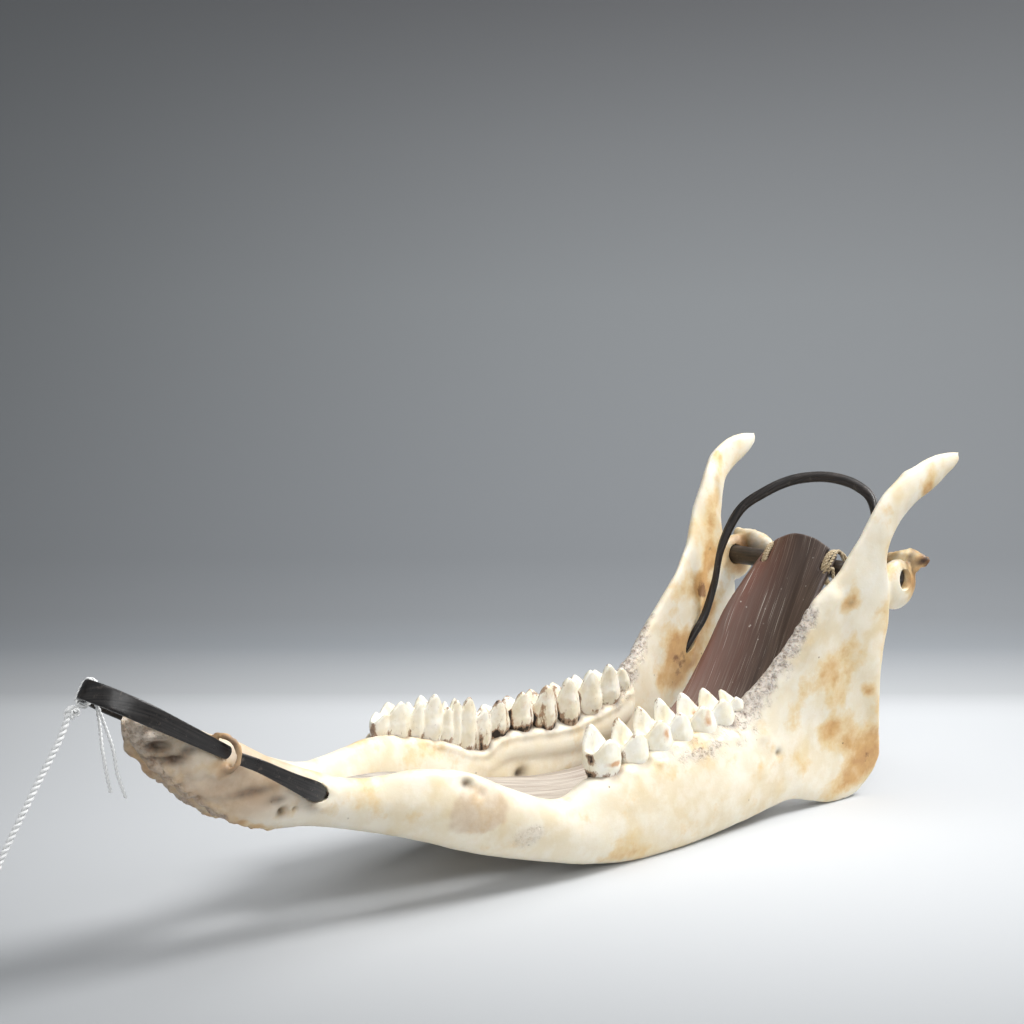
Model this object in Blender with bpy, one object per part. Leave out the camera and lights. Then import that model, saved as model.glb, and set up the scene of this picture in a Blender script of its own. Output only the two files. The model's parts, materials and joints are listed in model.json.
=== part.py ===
"""Lower jaw of a large deer with its fittings, life size, resting on its lower edge.

The chin points towards -X and the animal's left half lies on -Y. The two halves meet at the chin. Lists are in
millimetres, measured rearwards from the chin, sideways from the middle plane and upwards, and every mesh is
made in metres.
"""
import math

import bmesh
import bpy
from mathutils import Vector

MM = 0.001
GAP = 0.35
CENTRE_X = 146.34
FLOOR_Z = 2.3

# Jaw half: lower edge, upper edge and half thickness along the bone, from chin to coronoid tip
LOWER_EDGE = [
    (1.2, 2.2, 66.8), (3.2, 3.8, 60.6), (8.0, 5.2, 54.2), (16.5, 5.6, 46.0), (27.0, 6.2, 37.6),
    (38.0, 7.0, 32.8), (51.0, 9.0, 31.6), (67.0, 12.0, 27.4), (85.0, 17.0, 21.3), (105.0, 21.5, 14.2),
    (126.0, 25.0, 8.2), (147.0, 27.2, 3.4), (168.0, 28.2, 1.2), (186.0, 29.2, 2.2), (204.0, 30.2, 3.8),
    (219.0, 31.0, 5.4), (231.0, 31.6, 6.6), (242.0, 32.6, 4.0), (252.0, 33.6, 1.4), (263.0, 35.2, 4.2),
    (270.5, 37.0, 13.0), (268.5, 38.4, 24.5), (267.2, 39.0, 37.0), (267.8, 39.2, 50.0), (270.2, 39.4, 62.0),
    (268.5, 40.0, 74.0), (266.6, 40.6, 83.0), (271.0, 41.2, 92.0), (279.5, 42.2, 99.6),
    (290.0, 43.0, 104.0), (298.8, 43.5, 108.6), (302.8, 43.8, 111.6),
]
UPPER_EDGE = [
    (2.4, 2.2, 69.6), (5.2, 4.2, 69.2), (11.0, 5.0, 66.8), (20.0, 5.4, 62.4), (30.0, 6.0, 58.6),
    (40.0, 6.8, 52.6), (52.0, 8.8, 47.2), (65.0, 11.6, 42.6), (80.0, 15.6, 41.8), (96.0, 19.4, 40.6),
    (112.0, 22.4, 33.2), (131.0, 24.8, 26.0), (146.0, 25.6, 30.8), (164.0, 25.8, 33.6), (182.0, 25.8, 36.4),
    (197.0, 26.0, 38.8), (209.0, 26.8, 41.4), (216.0, 28.4, 46.6), (222.0, 30.4, 52.6), (229.0, 32.8, 61.0),
    (236.5, 35.0, 71.0), (243.0, 36.6, 76.6), (247.0, 37.8, 80.4), (250.0, 38.6, 84.8), (252.6, 39.4, 88.6),
    (255.4, 40.0, 92.6), (259.6, 40.8, 98.8), (266.0, 41.3, 105.0), (276.0, 42.0, 110.2),
    (286.5, 43.0, 114.4), (296.0, 43.5, 115.8), (303.2, 43.8, 115.2),
]
HALF_THICKNESS = [
    (1.6, 1.8, 1.4), (2.8, 3.2, 2.4), (4.4, 5.0, 3.8), (5.0, 5.8, 4.6), (4.8, 5.8, 4.8), (4.6, 5.4, 4.6),
    (4.4, 5.0, 4.2), (4.4, 5.0, 3.8), (4.8, 5.4, 3.8), (5.2, 5.8, 4.0), (5.4, 6.2, 4.6),
    (5.6, 6.6, 5.4), (5.8, 6.9, 5.8), (5.8, 7.1, 6.0), (5.4, 7.0, 6.2), (4.8, 6.4, 6.2),
    (4.0, 5.2, 5.8), (3.4, 4.2, 5.0), (3.4, 3.4, 4.4), (3.4, 2.8, 4.0), (3.4, 2.6, 3.6),
    (3.4, 2.6, 3.2), (3.4, 2.6, 3.0), (3.4, 2.6, 2.8), (3.6, 2.7, 2.6), (3.2, 2.8, 2.6),
    (2.8, 2.8, 2.6), (2.4, 2.8, 2.4), (2.2, 2.6, 2.2), (2.0, 2.4, 2.0), (1.6, 2.0, 1.6),
    (0.8, 1.0, 0.8),
]
PREMOLAR_RISE = {
    9: (98.0, 18.8, 42.4), 10: (114.0, 21.4, 38.6), 11: (130.0, 23.6, 33.0), 12: (146.0, 24.8, 30.0),
}
RIGHT_RAMUS_SHIFT = {
    17: (0.0, 2.0), 18: (0.5, 2.5), 19: (3.0, 4.5), 20: (5.0, 6.7), 21: (7.0, 6.2), 22: (8.5, 6.2),
    23: (9.0, 5.9), 24: (8.4, 5.6), 25: (7.6, 5.0), 26: (7.0, 5.0), 27: (5.0, 3.6), 28: (2.2, 0.6),
}
INWARD_SHARE = 0.8
CHIN_SWEEP = 0.95
CHIN_SWEEP_END = 24.0
RING_POINTS = 16
STEPS_BETWEEN = 2

# Cheek tooth lobes: place and height of the neck, inner and outer tip height, half length, half width, lean
LEFT_LOBES = [
    (149.8, 30.6, 44.7, 41.4, 6.2, 4.6, 1.6), (162.6, 30.4, 44.5, 41.4, 5.8, 4.7, 2.6),
    (174.0, 31.2, 46.4, 43.4, 6.0, 4.8, 4.6), (183.6, 32.2, 47.4, 44.2, 5.7, 4.8, 5.2),
    (194.4, 33.0, 47.4, 44.4, 6.2, 4.7, 5.4), (204.0, 34.0, 47.2, 44.8, 5.8, 4.4, 5.0),
    (211.4, 37.8, 45.6, 44.0, 3.8, 3.4, 4.6),
]
RIGHT_LOBES = [
    (104.9, 41.4, 47.5, 47.2, 3.2, 2.8, -0.6), (111.0, 40.2, 50.4, 49.2, 5.0, 3.7, 0.2),
    (118.0, 38.4, 48.8, 48.0, 3.2, 3.4, -0.6), (124.0, 36.8, 50.6, 49.0, 4.8, 4.0, -0.2),
    (129.8, 34.8, 45.6, 45.8, 3.2, 3.8, 0.0), (133.6, 32.6, 47.0, 45.6, 3.0, 3.6, 0.0),
    (138.6, 31.0, 47.4, 45.8, 4.4, 4.2, 0.4), (144.8, 30.2, 42.4, 43.0, 4.0, 4.4, 0.4),
    (152.0, 33.4, 44.2, 41.6, 5.2, 4.4, 1.4), (162.2, 33.0, 45.2, 42.6, 5.4, 4.6, 1.4),
    (172.8, 32.0, 45.6, 43.0, 5.6, 4.8, 1.4), (183.6, 31.6, 46.4, 43.6, 5.6, 4.8, 2.2),
    (194.0, 33.2, 47.4, 44.4, 5.6, 4.7, 2.4), (203.4, 35.0, 47.8, 44.6, 5.2, 4.4, 2.6),
    (210.4, 38.4, 45.4, 44.4, 3.4, 3.4, 2.8),
]
SOCKET_DEPTH = 2.9
SOCKET_RADIUS = 3.2
SOCKET_SPREAD = 1.75
TOOTH_CENTRE_Y = 24.6

# Hoops: a flat strap round the chin with its two tails, and a rod bent over at the rear
FRONT_HOOP_SIDE = 11.6
FRONT_HOOP_BEND = (5.0, 13.6)
FRONT_HOOP_FOOT = (23.6, 57.6)
FRONT_HOOP_RISE = 0.6
FRONT_HOOP_WIDTH = 5.4
FRONT_HOOP_FOOT_WIDTH = 3.6
FRONT_HOOP_THICKNESS = 1.8
HOOP_WIDTH_WAY = (0.52, 0.0, 0.85)
TAIL_POINTS = [
    (26.6, 12.6, 55.6), (33.0, 13.4, 52.4), (41.0, 14.2, 47.6), (49.0, 14.2, 43.0), (56.2, 12.2, 39.4),
]
TAIL_WIDTHS = [3.2, 3.3, 3.5, 3.8, 4.2, 4.8, 5.4, 4.8, 2.2]
TAIL_THICKNESS = 1.6
REAR_HOOP_RIGHT = [
    (244.8, 31.2, 37.4), (247.8, 30.0, 42.4), (251.6, 27.8, 49.2), (255.8, 26.2, 56.4), (259.4, 25.2, 67.4),
    (261.7, 24.0, 80.2), (266.3, 20.0, 92.5), (271.3, 13.0, 99.1), (276.2, 6.0, 103.2),
    (279.6, -2.0, 105.0),
]
REAR_HOOP_LEFT = [
    (281.4, -10.0, 105.0), (282.4, -18.0, 103.0), (281.8, -24.6, 98.6), (277.4, -29.4, 89.0),
    (272.4, -30.6, 76.0), (267.4, -31.2, 63.0), (259.5, -31.8, 52.0), (251.0, -33.0, 44.2),
    (245.8, -34.3, 40.4),
]

# Scoop: edge line, middle line and half width, from the front tip to the rear lip
SCOOP_EDGE = [
    (74.0, 37.4), (94.0, 34.4), (120.0, 27.4), (148.0, 20.4), (175.0, 16.6), (200.0, 17.6), (221.0, 22.8),
    (235.0, 31.2), (246.4, 46.0), (254.4, 58.8), (263.0, 68.0), (270.8, 75.0), (276.0, 79.4),
]
SCOOP_MIDDLE = [
    (73.0, 35.6), (94.0, 31.4), (120.0, 22.6), (148.0, 14.6), (176.0, 10.6), (203.0, 11.4), (227.0, 17.0),
    (243.0, 26.4), (254.6, 43.0), (261.6, 57.0), (268.0, 69.0), (272.4, 78.0), (275.2, 85.4),
]
SCOOP_HALF_WIDTH = [4.6, 9.6, 14.6, 17.8, 19.2, 19.8, 20.0, 19.6, 18.2, 17.0, 16.0, 15.4, 15.0]
SCOOP_THICKNESS = 1.4
SCOOP_ACROSS = 8

BAR_AXIS = (277.4, 74.4)
BAR_RADIUS = 3.2
BAR_ENDS = (-39.6, 36.2)
NECK_CENTRES = {-1: (276.8, 38.6, 72.6), 1: (280.0, 33.6, 72.6)}
CONDYLE_SHIFT = {-1: (0.0, 0.0), 1: (-1.0, 4.5)}
CONDYLE = [
    (285.6, 24.6, 77.0), (286.2, 27.6, 77.8), (286.6, 33.0, 78.8), (286.8, 38.0, 79.2), (287.6, 41.6, 79.6),
    (289.0, 43.8, 80.2),
]
CONDYLE_RADII = [1.6, 3.0, 3.6, 3.6, 2.6, 0.9]
STRAP_HOLDER = [
    (22.4, 8.4, 61.6), (23.2, 11.8, 61.9), (24.6, 14.6, 60.0), (25.2, 15.0, 56.6), (24.2, 13.4, 53.4),
    (22.8, 9.4, 51.8),
]
TIE_Y = 12.8
TIE_RADIUS = 6.1
TIE_TUBE = 0.8

# Thread, its loose ends and its tag
THREAD_RADIUS = 0.9
LOOSE_RADIUS = 0.5
WRAP_Y = 8.4
TAG_CENTRE = (-84.0, 7.0)
TAG_SIZE = (34.0, 21.0, 0.6)
THREAD_ROUTE = [
    (-9.2, 8.2, 71.6), (-10.0, 8.0, 70.0), (-11.2, 7.6, 67.4), (-13.2, 7.3, 63.9), (-16.8, 7.0, 58.7),
    (-20.6, 7.0, 53.1), (-26.4, 7.0, 44.0), (-30.8, 7.0, 36.8), (-36.4, 7.2, 24.6), (-41.0, 7.5, 13.6),
    (-45.0, 7.8, 7.2), (-49.8, 8.0, 4.0), (-55.0, 7.8, 3.4), (-61.0, 7.4, 3.6), (-65.4, 7.1, 4.2),
    (-68.6, 7.0, 4.6),
]
LOOSE_ROUTE = [
    (-2.8, 1.2, 49.7), (-3.7, 1.4, 54.8), (-4.2, 2.2, 61.0), (-4.2, 3.0, 66.4), (-4.2, 3.9, 70.6),
    (-4.6, 4.1, 73.2), (-5.4, 3.1, 74.4), (-6.0, 1.6, 73.8), (-5.6, 0.5, 71.0), (-4.6, 0.0, 67.4),
    (-2.8, -0.4, 61.4), (-2.1, -1.0, 54.8), (-0.4, -2.0, 48.4),
]


def place(point):
    """Point in millimetres from the chin, as a vector in metres about the part's middle."""
    return Vector(((point[0] - CENTRE_X) * MM, point[1] * MM, (point[2] - FLOOR_Z) * MM))


def smooth(rows, steps):
    """Rows on a smooth curve through the given rows, with a number of steps between two."""
    out = []
    last = len(rows) - 1
    for i in range(last):
        a, b, c, d = rows[max(i - 1, 0)], rows[i], rows[i + 1], rows[min(i + 2, last)]
        for s in range(steps):
            t = s / steps
            out.append(tuple(
                q + 0.5 * ((r - p) * t + (2 * p - 5 * q + 4 * r - w) * t ** 2 + (3 * q - p - 3 * r + w) * t ** 3)
                for p, q, r, w in zip(a, b, c, d)
            ))
    out.append(tuple(rows[-1]))
    return out


def material(name, colour, roughness, metallic=0.0):
    """Plain material with one colour, given as an sRGB hex value."""
    mat = bpy.data.materials.new(name)
    mat.use_nodes = True
    shader = mat.node_tree.nodes["Principled BSDF"]
    channels = [int(colour[i:i + 2], 16) / 255 for i in (0, 2, 4)]
    linear = [c / 12.92 if c <= 0.04045 else ((c + 0.055) / 1.055) ** 2.4 for c in channels]
    shader.inputs["Base Color"].default_value = (*linear, 1.0)
    shader.inputs["Roughness"].default_value = roughness
    shader.inputs["Metallic"].default_value = metallic
    mat.diffuse_color = (*linear, 1.0)
    return mat


def from_rings(name, rings, mat, closed=False):
    """Closed mesh through rings of the same count, capped at both ends or joined round."""
    bm = bmesh.new()
    layers = [[bm.verts.new(v) for v in ring] for ring in rings]
    count = len(rings[0])
    pairs = list(zip(layers, layers[1:]))
    if closed:
        pairs.append((layers[-1], layers[0]))
    for first, second in pairs:
        for k in range(count):
            m = (k + 1) % count
            bm.faces.new((first[k], first[m], second[m], second[k]))
    if not closed:
        bm.faces.new(reversed(layers[0]))
        bm.faces.new(layers[-1])
    bmesh.ops.recalc_face_normals(bm, faces=bm.faces)
    mesh = bpy.data.meshes.new(name)
    bm.to_mesh(mesh)
    bm.free()
    for face in mesh.polygons:
        face.use_smooth = True
    mesh.materials.append(mat)
    obj = bpy.data.objects.new(name, mesh)
    bpy.context.collection.objects.link(obj)
    return obj


def boolean(obj, others, operation, solver="EXACT"):
    """Applies one Boolean of several objects to a mesh and removes them."""
    pile = bpy.data.collections.new(obj.name + "_others")
    bpy.context.scene.collection.children.link(pile)
    for other in others:
        for holder in list(other.users_collection):
            holder.objects.unlink(other)
        pile.objects.link(other)
        other.hide_render = True
        other.display_type = "WIRE"
    step = obj.modifiers.new("join or cut", "BOOLEAN")
    step.operation = operation
    step.solver = solver
    step.operand_type = "COLLECTION"
    step.collection = pile
    mesh = bpy.data.meshes.new_from_object(obj.evaluated_get(bpy.context.evaluated_depsgraph_get()))
    obj.modifiers.clear()
    obj.data = mesh
    for other in list(pile.objects):
        bpy.data.objects.remove(other)
    bpy.data.collections.remove(pile)


def keep_largest(obj):
    """Keeps only the closed surface with the most faces."""
    bm = bmesh.new()
    bm.from_mesh(obj.data)
    bm.faces.ensure_lookup_table()
    left = set(bm.faces)
    best = set()
    while left:
        seed = left.pop()
        group, edge_of = {seed}, [seed]
        while edge_of:
            for edge in edge_of.pop().edges:
                for face in edge.link_faces:
                    if face in left:
                        left.remove(face)
                        group.add(face)
                        edge_of.append(face)
        if len(group) > len(best):
            best = group
    bmesh.ops.delete(bm, geom=[f for f in bm.faces if f not in best], context="FACES")
    bm.to_mesh(obj.data)
    bm.free()


def side_ring(lower, upper, thick, side, count):
    """Ring of points round the bone between its lower and its upper edge."""
    low, high = Vector(lower), Vector(upper)
    along = (high - low).normalized()
    across = Vector((0.0, 1.0, 0.0))
    across = (across - along * across.dot(along)).normalized()
    middle, reach = (low + high) / 2, (high - low).length / 2
    squareness = 0.62 if reach > 14.0 else 0.8
    ring = []
    for k in range(count):
        angle = 2 * math.pi * k / count
        u, v = math.cos(angle), math.sin(angle)
        half = thick[1] + (thick[0] - thick[1]) * max(-u, 0) ** 2 + (thick[2] - thick[1]) * max(u, 0) ** 2
        point = middle + along * (u * reach) + across * (math.copysign(abs(v) ** squareness, v) * half)
        point.x += CHIN_SWEEP * (point.y - low.y) * max(0.0, 1.0 - low.x / CHIN_SWEEP_END)
        point.y = max(point.y, GAP / 2)
        ring.append(place((point.x, point.y * side, point.z)))
    return ring


def lobe(row, side, mat, turns=10):
    """One lobe of a cheek tooth, rooted in the bone, with a pointed inner cusp and a lower outer one."""
    x, neck, inner, outer, long, wide, lean = row
    reach = outer - neck

    def ring(fat_x, fat_y, height):
        made = []
        for k in range(turns):
            a = 2 * math.pi * k / turns
            c, s = math.cos(a), math.sin(a)
            z = height(c, s)
            shift = -lean * max(z - neck, 0.0) / (inner - neck)
            made.append(place((
                x + shift + long * fat_x * math.copysign(abs(c) ** 0.8, c),
                side * (TOOTH_CENTRE_Y + wide * fat_y * math.copysign(abs(s) ** 0.8, s)),
                z,
            )))
        return made

    def crest(c, s):
        corner = neck + reach * 0.8
        lift = (inner if s < 0 else outer) - corner
        return corner + lift * abs(s) ** 1.3

    rings = [
        ring(0.72, 0.78, lambda c, s: neck - 5.0), ring(0.92, 0.94, lambda c, s: neck + 0.5),
        ring(1.0, 1.0, lambda c, s: neck + reach * 0.45), ring(0.98, 0.92, lambda c, s: neck + reach * 0.72),
        ring(0.8, 0.72, crest), ring(0.24, 0.16, lambda c, s: neck + reach * 0.7),
    ]
    return from_rings("lobe", rings, mat)


def tube(name, points, radii, mat, sides=10, squash=1.0):
    """Tube along points, with a radius at each, its sideways radius squashed or spread by a share."""
    path = [Vector(p) for p in points]
    up = Vector((0.31, 0.12, 0.94))
    rings = []
    for i, centre in enumerate(path):
        ahead = (path[min(i + 1, len(path) - 1)] - path[max(i - 1, 0)]).normalized()
        first = (up - ahead * up.dot(ahead)).normalized()
        second = ahead.cross(first)
        r = radii[i] if isinstance(radii, (list, tuple)) else radii
        rings.append([
            place(centre + first * (r * math.cos(a)) + second * (r * squash * math.sin(a)))
            for a in (2 * math.pi * k / sides for k in range(sides))
        ])
    return from_rings(name, rings, mat)


def strap(name, points, widths, thickness, mat):
    """Flat strap with rounded long edges and a width at each point."""
    path = [Vector(p) for p in points]
    way = Vector(HOOP_WIDTH_WAY).normalized()
    half_outline = ((1.0, 0.35), (0.82, 1.0), (-0.82, 1.0), (-1.0, 0.35))
    outline = half_outline + tuple((-p, -q) for p, q in half_outline)
    rings = []
    for i, centre in enumerate(path):
        ahead = (path[min(i + 1, len(path) - 1)] - path[max(i - 1, 0)]).normalized()
        broad = (way - ahead * way.dot(ahead)).normalized()
        thin = ahead.cross(broad)
        wide, deep = broad * (widths[i] / 2), thin * (thickness / 2)
        rings.append([place(centre + wide * p + deep * q) for p, q in outline])
    return from_rings(name, rings, mat)


def ring_round_y(name, centre_xz, y, radius, tube_radius, mat, turns=18, sides=8, squash=1.0):
    """Torus round an axis along Y."""
    rings = []
    for i in range(turns):
        a = 2 * math.pi * i / turns
        out = Vector((math.cos(a), 0.0, math.sin(a)))
        middle = Vector((centre_xz[0], y, centre_xz[1])) + out * radius
        aside = Vector((0.0, squash, 0.0))
        rings.append([
            place(middle + (out * math.cos(b) + aside * math.sin(b)) * tube_radius)
            for b in (2 * math.pi * k / sides for k in range(sides))
        ])
    return from_rings(name, rings, mat, closed=True)


def rod_y(name, centre_xz, y_from, y_to, radius, mat, sides=20):
    """Round rod along Y."""
    rings = [
        [place((centre_xz[0] + radius * math.cos(a), y, centre_xz[1] + radius * math.sin(a)))
         for a in (2 * math.pi * k / sides for k in range(sides))]
        for y in (y_from, y_to)
    ]
    return from_rings(name, rings, mat)


def ellipsoid(name, centre, radii, mat, turns=14, levels=9):
    """Closed egg shape with small flat poles along Y."""
    rings = []
    for j in range(levels):
        a = math.pi * (j + 0.35) / (levels - 0.3)
        rings.append([
            place((
                centre[0] + radii[0] * math.sin(a) * math.cos(b),
                centre[1] - radii[1] * math.cos(a),
                centre[2] + radii[2] * math.sin(a) * math.sin(b),
            ))
            for b in (2 * math.pi * k / turns for k in range(turns))
        ])
    return from_rings(name, rings, mat)


def front_hoop_line():
    """Centre line of the front hoop, from the left foot round the bend to the right foot."""
    bend_x, bend_long = FRONT_HOOP_BEND
    foot_x, foot_z = FRONT_HOOP_FOOT
    left = [(foot_x, -FRONT_HOOP_SIDE), (17.0, -FRONT_HOOP_SIDE), (10.5, -FRONT_HOOP_SIDE)]
    bend = []
    for i in range(17):
        a = math.pi * i / 16
        bend.append((bend_x - bend_long * math.sin(a), -FRONT_HOOP_SIDE * math.cos(a)))
    flat = left + bend + [(x, -y) for x, y in reversed(left)]
    return [(x, y, foot_z + (foot_x - x) * FRONT_HOOP_RISE) for x, y in flat]


def on_side(points, side):
    """Points with their distance from the middle plane put on one side of it."""
    return [(x, side * y, z) for x, y, z in points]


def edges(side):
    """Lower and upper edge rows of one half, the right one raised under its premolars and toed in at the rear."""
    low, high = list(LOWER_EDGE), list(UPPER_EDGE)
    if side > 0:
        for row, point in PREMOLAR_RISE.items():
            high[row] = point
        for row, shifts in RIGHT_RAMUS_SHIFT.items():
            for line, shift in zip((low, high), shifts):
                x, y, z = line[row]
                line[row] = (x + shift, y - INWARD_SHARE * shift, z)
    return low, high


def socket_ridge(lobes, side, mat):
    """Rounded ridge of bone that holds the roots of a row of cheek teeth."""
    points = [(row[0], side * TOOTH_CENTRE_Y, row[1] - SOCKET_DEPTH) for row in lobes]
    first, last = points[0], points[-1]
    points = [(first[0] - 4.6, first[1], first[2] - 1.4)] + points + [(last[0] + 4.0, last[1], last[2] - 0.4)]
    radii = [SOCKET_RADIUS * 0.6] + [SOCKET_RADIUS] * len(lobes) + [SOCKET_RADIUS * 0.6]
    return tube("socket ridge", points, radii, mat, squash=SOCKET_SPREAD)


def tail_path(side):
    """Centre line of one tail of the front hoop."""
    return on_side(smooth(TAIL_POINTS, 2), side)


def fitting_cutters(side, mat):
    """Slots for the hoops, the bar's hole and a small peg hole, each wider than what it holds."""
    line = front_hoop_line()
    line = line if side < 0 else list(reversed(line))
    foot_end = Vector(line[0]) + (Vector(line[0]) - Vector(line[1])).normalized() * 1.0
    foot = [foot_end] + [Vector(p) for p in line[:5]]
    foot_widths = [w + 2 * GAP for w in [FRONT_HOOP_FOOT_WIDTH] + front_hoop_widths()[:5]]
    tail = [Vector(p) for p in tail_path(side)]
    before = tail[0] + (tail[0] - tail[1]).normalized() * 0.6
    after = tail[-1] + (tail[-1] - tail[-2]).normalized() * 0.8
    tail_widths = [w + 2 * GAP for w in [TAIL_WIDTHS[0]] + TAIL_WIDTHS + [TAIL_WIDTHS[-1]]]
    rear = [Vector(p) for p in (REAR_HOOP_RIGHT[:5] if side > 0 else REAR_HOOP_LEFT[:-4:-1])]
    rear.insert(0, rear[0] + (rear[0] - rear[1]).normalized() * 0.8)
    rear = smooth(rear, 3)
    bar_end = BAR_ENDS[0] if side < 0 else BAR_ENDS[1]
    return [
        strap("foot slot", foot, foot_widths, FRONT_HOOP_THICKNESS + 2 * GAP, mat),
        strap("tail slot", [before] + tail + [after], tail_widths, TAIL_THICKNESS + 2 * GAP + 0.3, mat),
        rod_y("bar hole", BAR_AXIS, bar_end - side * 8.6, bar_end + side * 5.0, BAR_RADIUS + GAP, mat),
        rod_y("peg hole", (44.6, 38.4), side * 10.0, side * 18.0, 0.9, mat, sides=10),
        tube("rear slot", rear, [1.5 + 0.07 * i for i in range(len(rear))], mat),
    ]


def cut_feet(obj):
    """Cuts off what is below the floor and leaves one flat face on each foot."""
    bm = bmesh.new()
    bm.from_mesh(obj.data)
    bmesh.ops.bisect_plane(
        bm, geom=bm.verts[:] + bm.edges[:] + bm.faces[:], dist=1e-7,
        plane_co=(0, 0, 0), plane_no=(0, 0, 1), clear_inner=True,
    )
    bmesh.ops.holes_fill(bm, edges=[e for e in bm.edges if e.is_boundary])
    bmesh.ops.recalc_face_normals(bm, faces=bm.faces)
    bm.to_mesh(obj.data)
    bm.free()


def jaw_half(name, side, bone):
    """One half of the jaw with its teeth, condyle and strap holder, drilled for the fittings."""
    low, high = edges(side)
    rows = zip(smooth(low, STEPS_BETWEEN), smooth(high, STEPS_BETWEEN), smooth(HALF_THICKNESS, STEPS_BETWEEN))
    half = from_rings(name, [side_ring(a, b, t, side, RING_POINTS) for a, b, t in rows], bone)
    lobes = RIGHT_LOBES if side > 0 else LEFT_LOBES
    x, y, z = NECK_CENTRES[side]
    along, inward = CONDYLE_SHIFT[side]
    condyle = [(p + along, side * (q - inward), r) for p, q, r in CONDYLE]
    pieces = [lobe(row, side, bone) for row in lobes]
    pieces.append(socket_ridge(lobes, side, bone))
    pieces.append(ellipsoid("neck", (x, side * y, z), (10.4, 3.6, 8.4), bone))
    pieces.append(tube("condyle", condyle, CONDYLE_RADII, bone))
    pieces.append(tube("strap holder", on_side(STRAP_HOLDER, side), [1.1] * len(STRAP_HOLDER), bone, sides=7))
    # The exact solver leaves open edges where several lobes cross here, so the halves use the manifold one
    boolean(half, pieces, "UNION", "MANIFOLD")
    boolean(half, fitting_cutters(side, bone), "DIFFERENCE", "MANIFOLD")
    keep_largest(half)
    cut_feet(half)
    half.data.materials.clear()
    half.data.materials.append(bone)


def front_hoop_widths():
    """Widths of the front hoop along its centre line, narrow at both feet."""
    growth = FRONT_HOOP_WIDTH - FRONT_HOOP_FOOT_WIDTH
    ramp = [FRONT_HOOP_FOOT_WIDTH + growth * share for share in (0.0, 0.35, 0.7)]
    count = len(front_hoop_line())
    return ramp + [FRONT_HOOP_WIDTH] * (count - 6) + ramp[::-1]


def front_hoop(mat):
    """Flat dark strap bent round the chin, its rounded feet held on each side of the bone."""
    line = [Vector(p) for p in front_hoop_line()]
    first = (line[0] - line[1]).normalized()
    last = (line[-1] - line[-2]).normalized()
    start = [line[0] + first * 0.9, line[0] + first * 0.5]
    end = [line[-1] + last * 0.5, line[-1] + last * 0.9]
    path = start + line + end
    strap("front_hoop", path, [1.8, 3.0] + front_hoop_widths() + [3.0, 1.8], FRONT_HOOP_THICKNESS, mat)


def hoop_tail(name, side, mat):
    """Narrow dark strap that runs back from the foot of the front hoop into its slot in the bone."""
    strap(name, tail_path(side), TAIL_WIDTHS, TAIL_THICKNESS, mat)


def rear_hoop(mat):
    """Dark rod bent over from one half to the other, drawn out thin at both ends."""
    path = smooth(REAR_HOOP_RIGHT + REAR_HOOP_LEFT, 3)
    last = len(path) - 1
    radii = [0.9 + 1.0 * min(1.0, 2.6 * min(i, last - i) / last) ** 0.7 for i in range(last + 1)]
    tube("rear_hoop", path, radii, mat, sides=10, squash=0.72)


def scoop(mat):
    """Thin curved sheet between the halves that rises at the rear to its tied lip."""
    edge, middle = smooth(SCOOP_EDGE, 2), smooth(SCOOP_MIDDLE, 2)
    half = [w[0] for w in smooth([(w,) for w in SCOOP_HALF_WIDTH], 2)]
    grid = []
    for (ex, ez), (mx, mz), w in zip(edge, middle, half):
        row = []
        for j in range(SCOOP_ACROSS + 1):
            v = 2 * j / SCOOP_ACROSS - 1
            row.append(Vector((mx + (ex - mx) * v * v, w * v, mz + (ez - mz) * v * v)))
        grid.append(row)
    rings = []
    last = len(grid) - 1
    for i, row in enumerate(grid):
        front, back = [], []
        for j, point in enumerate(row):
            ahead = grid[min(i + 1, last)][j] - grid[max(i - 1, 0)][j]
            across = row[min(j + 1, SCOOP_ACROSS)] - row[max(j - 1, 0)]
            normal = ahead.cross(across).normalized()
            front.append(place(point))
            back.append(place(point - normal * SCOOP_THICKNESS))
        rings.append(front + back[::-1])
    sheet = from_rings("scoop", rings, mat)
    holes = [
        ring_round_y("hole", BAR_AXIS, y, TIE_RADIUS, TIE_TUBE + GAP, mat, squash=1.5)
        for y in (-TIE_Y, TIE_Y)
    ]
    boolean(sheet, holes, "DIFFERENCE")
    keep_largest(sheet)


def cross_bar(mat):
    """Dark bar from one condyle to the other, with a small blind bore in each end."""
    left, right = BAR_ENDS
    bar = rod_y("cross_bar", BAR_AXIS, left, right, BAR_RADIUS, mat)
    bores = [
        rod_y("bore", BAR_AXIS, left - 2.0, left + 4.0, 1.7, mat, sides=12),
        rod_y("bore", BAR_AXIS, right - 4.0, right + 2.0, 1.7, mat, sides=12),
    ]
    boolean(bar, bores, "DIFFERENCE")


def cord(name, points, radius, mat):
    """Round cord as a curve along points in millimetres."""
    curve = bpy.data.curves.new(name, "CURVE")
    curve.dimensions = "3D"
    curve.bevel_depth = radius * MM
    curve.bevel_resolution = 2
    curve.use_fill_caps = True
    line = curve.splines.new("POLY")
    line.points.add(len(points) - 1)
    for spot, point in zip(line.points, points):
        spot.co = (*place(point), 1.0)
    curve.materials.append(mat)
    bpy.context.collection.objects.link(bpy.data.objects.new(name, curve))


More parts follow.
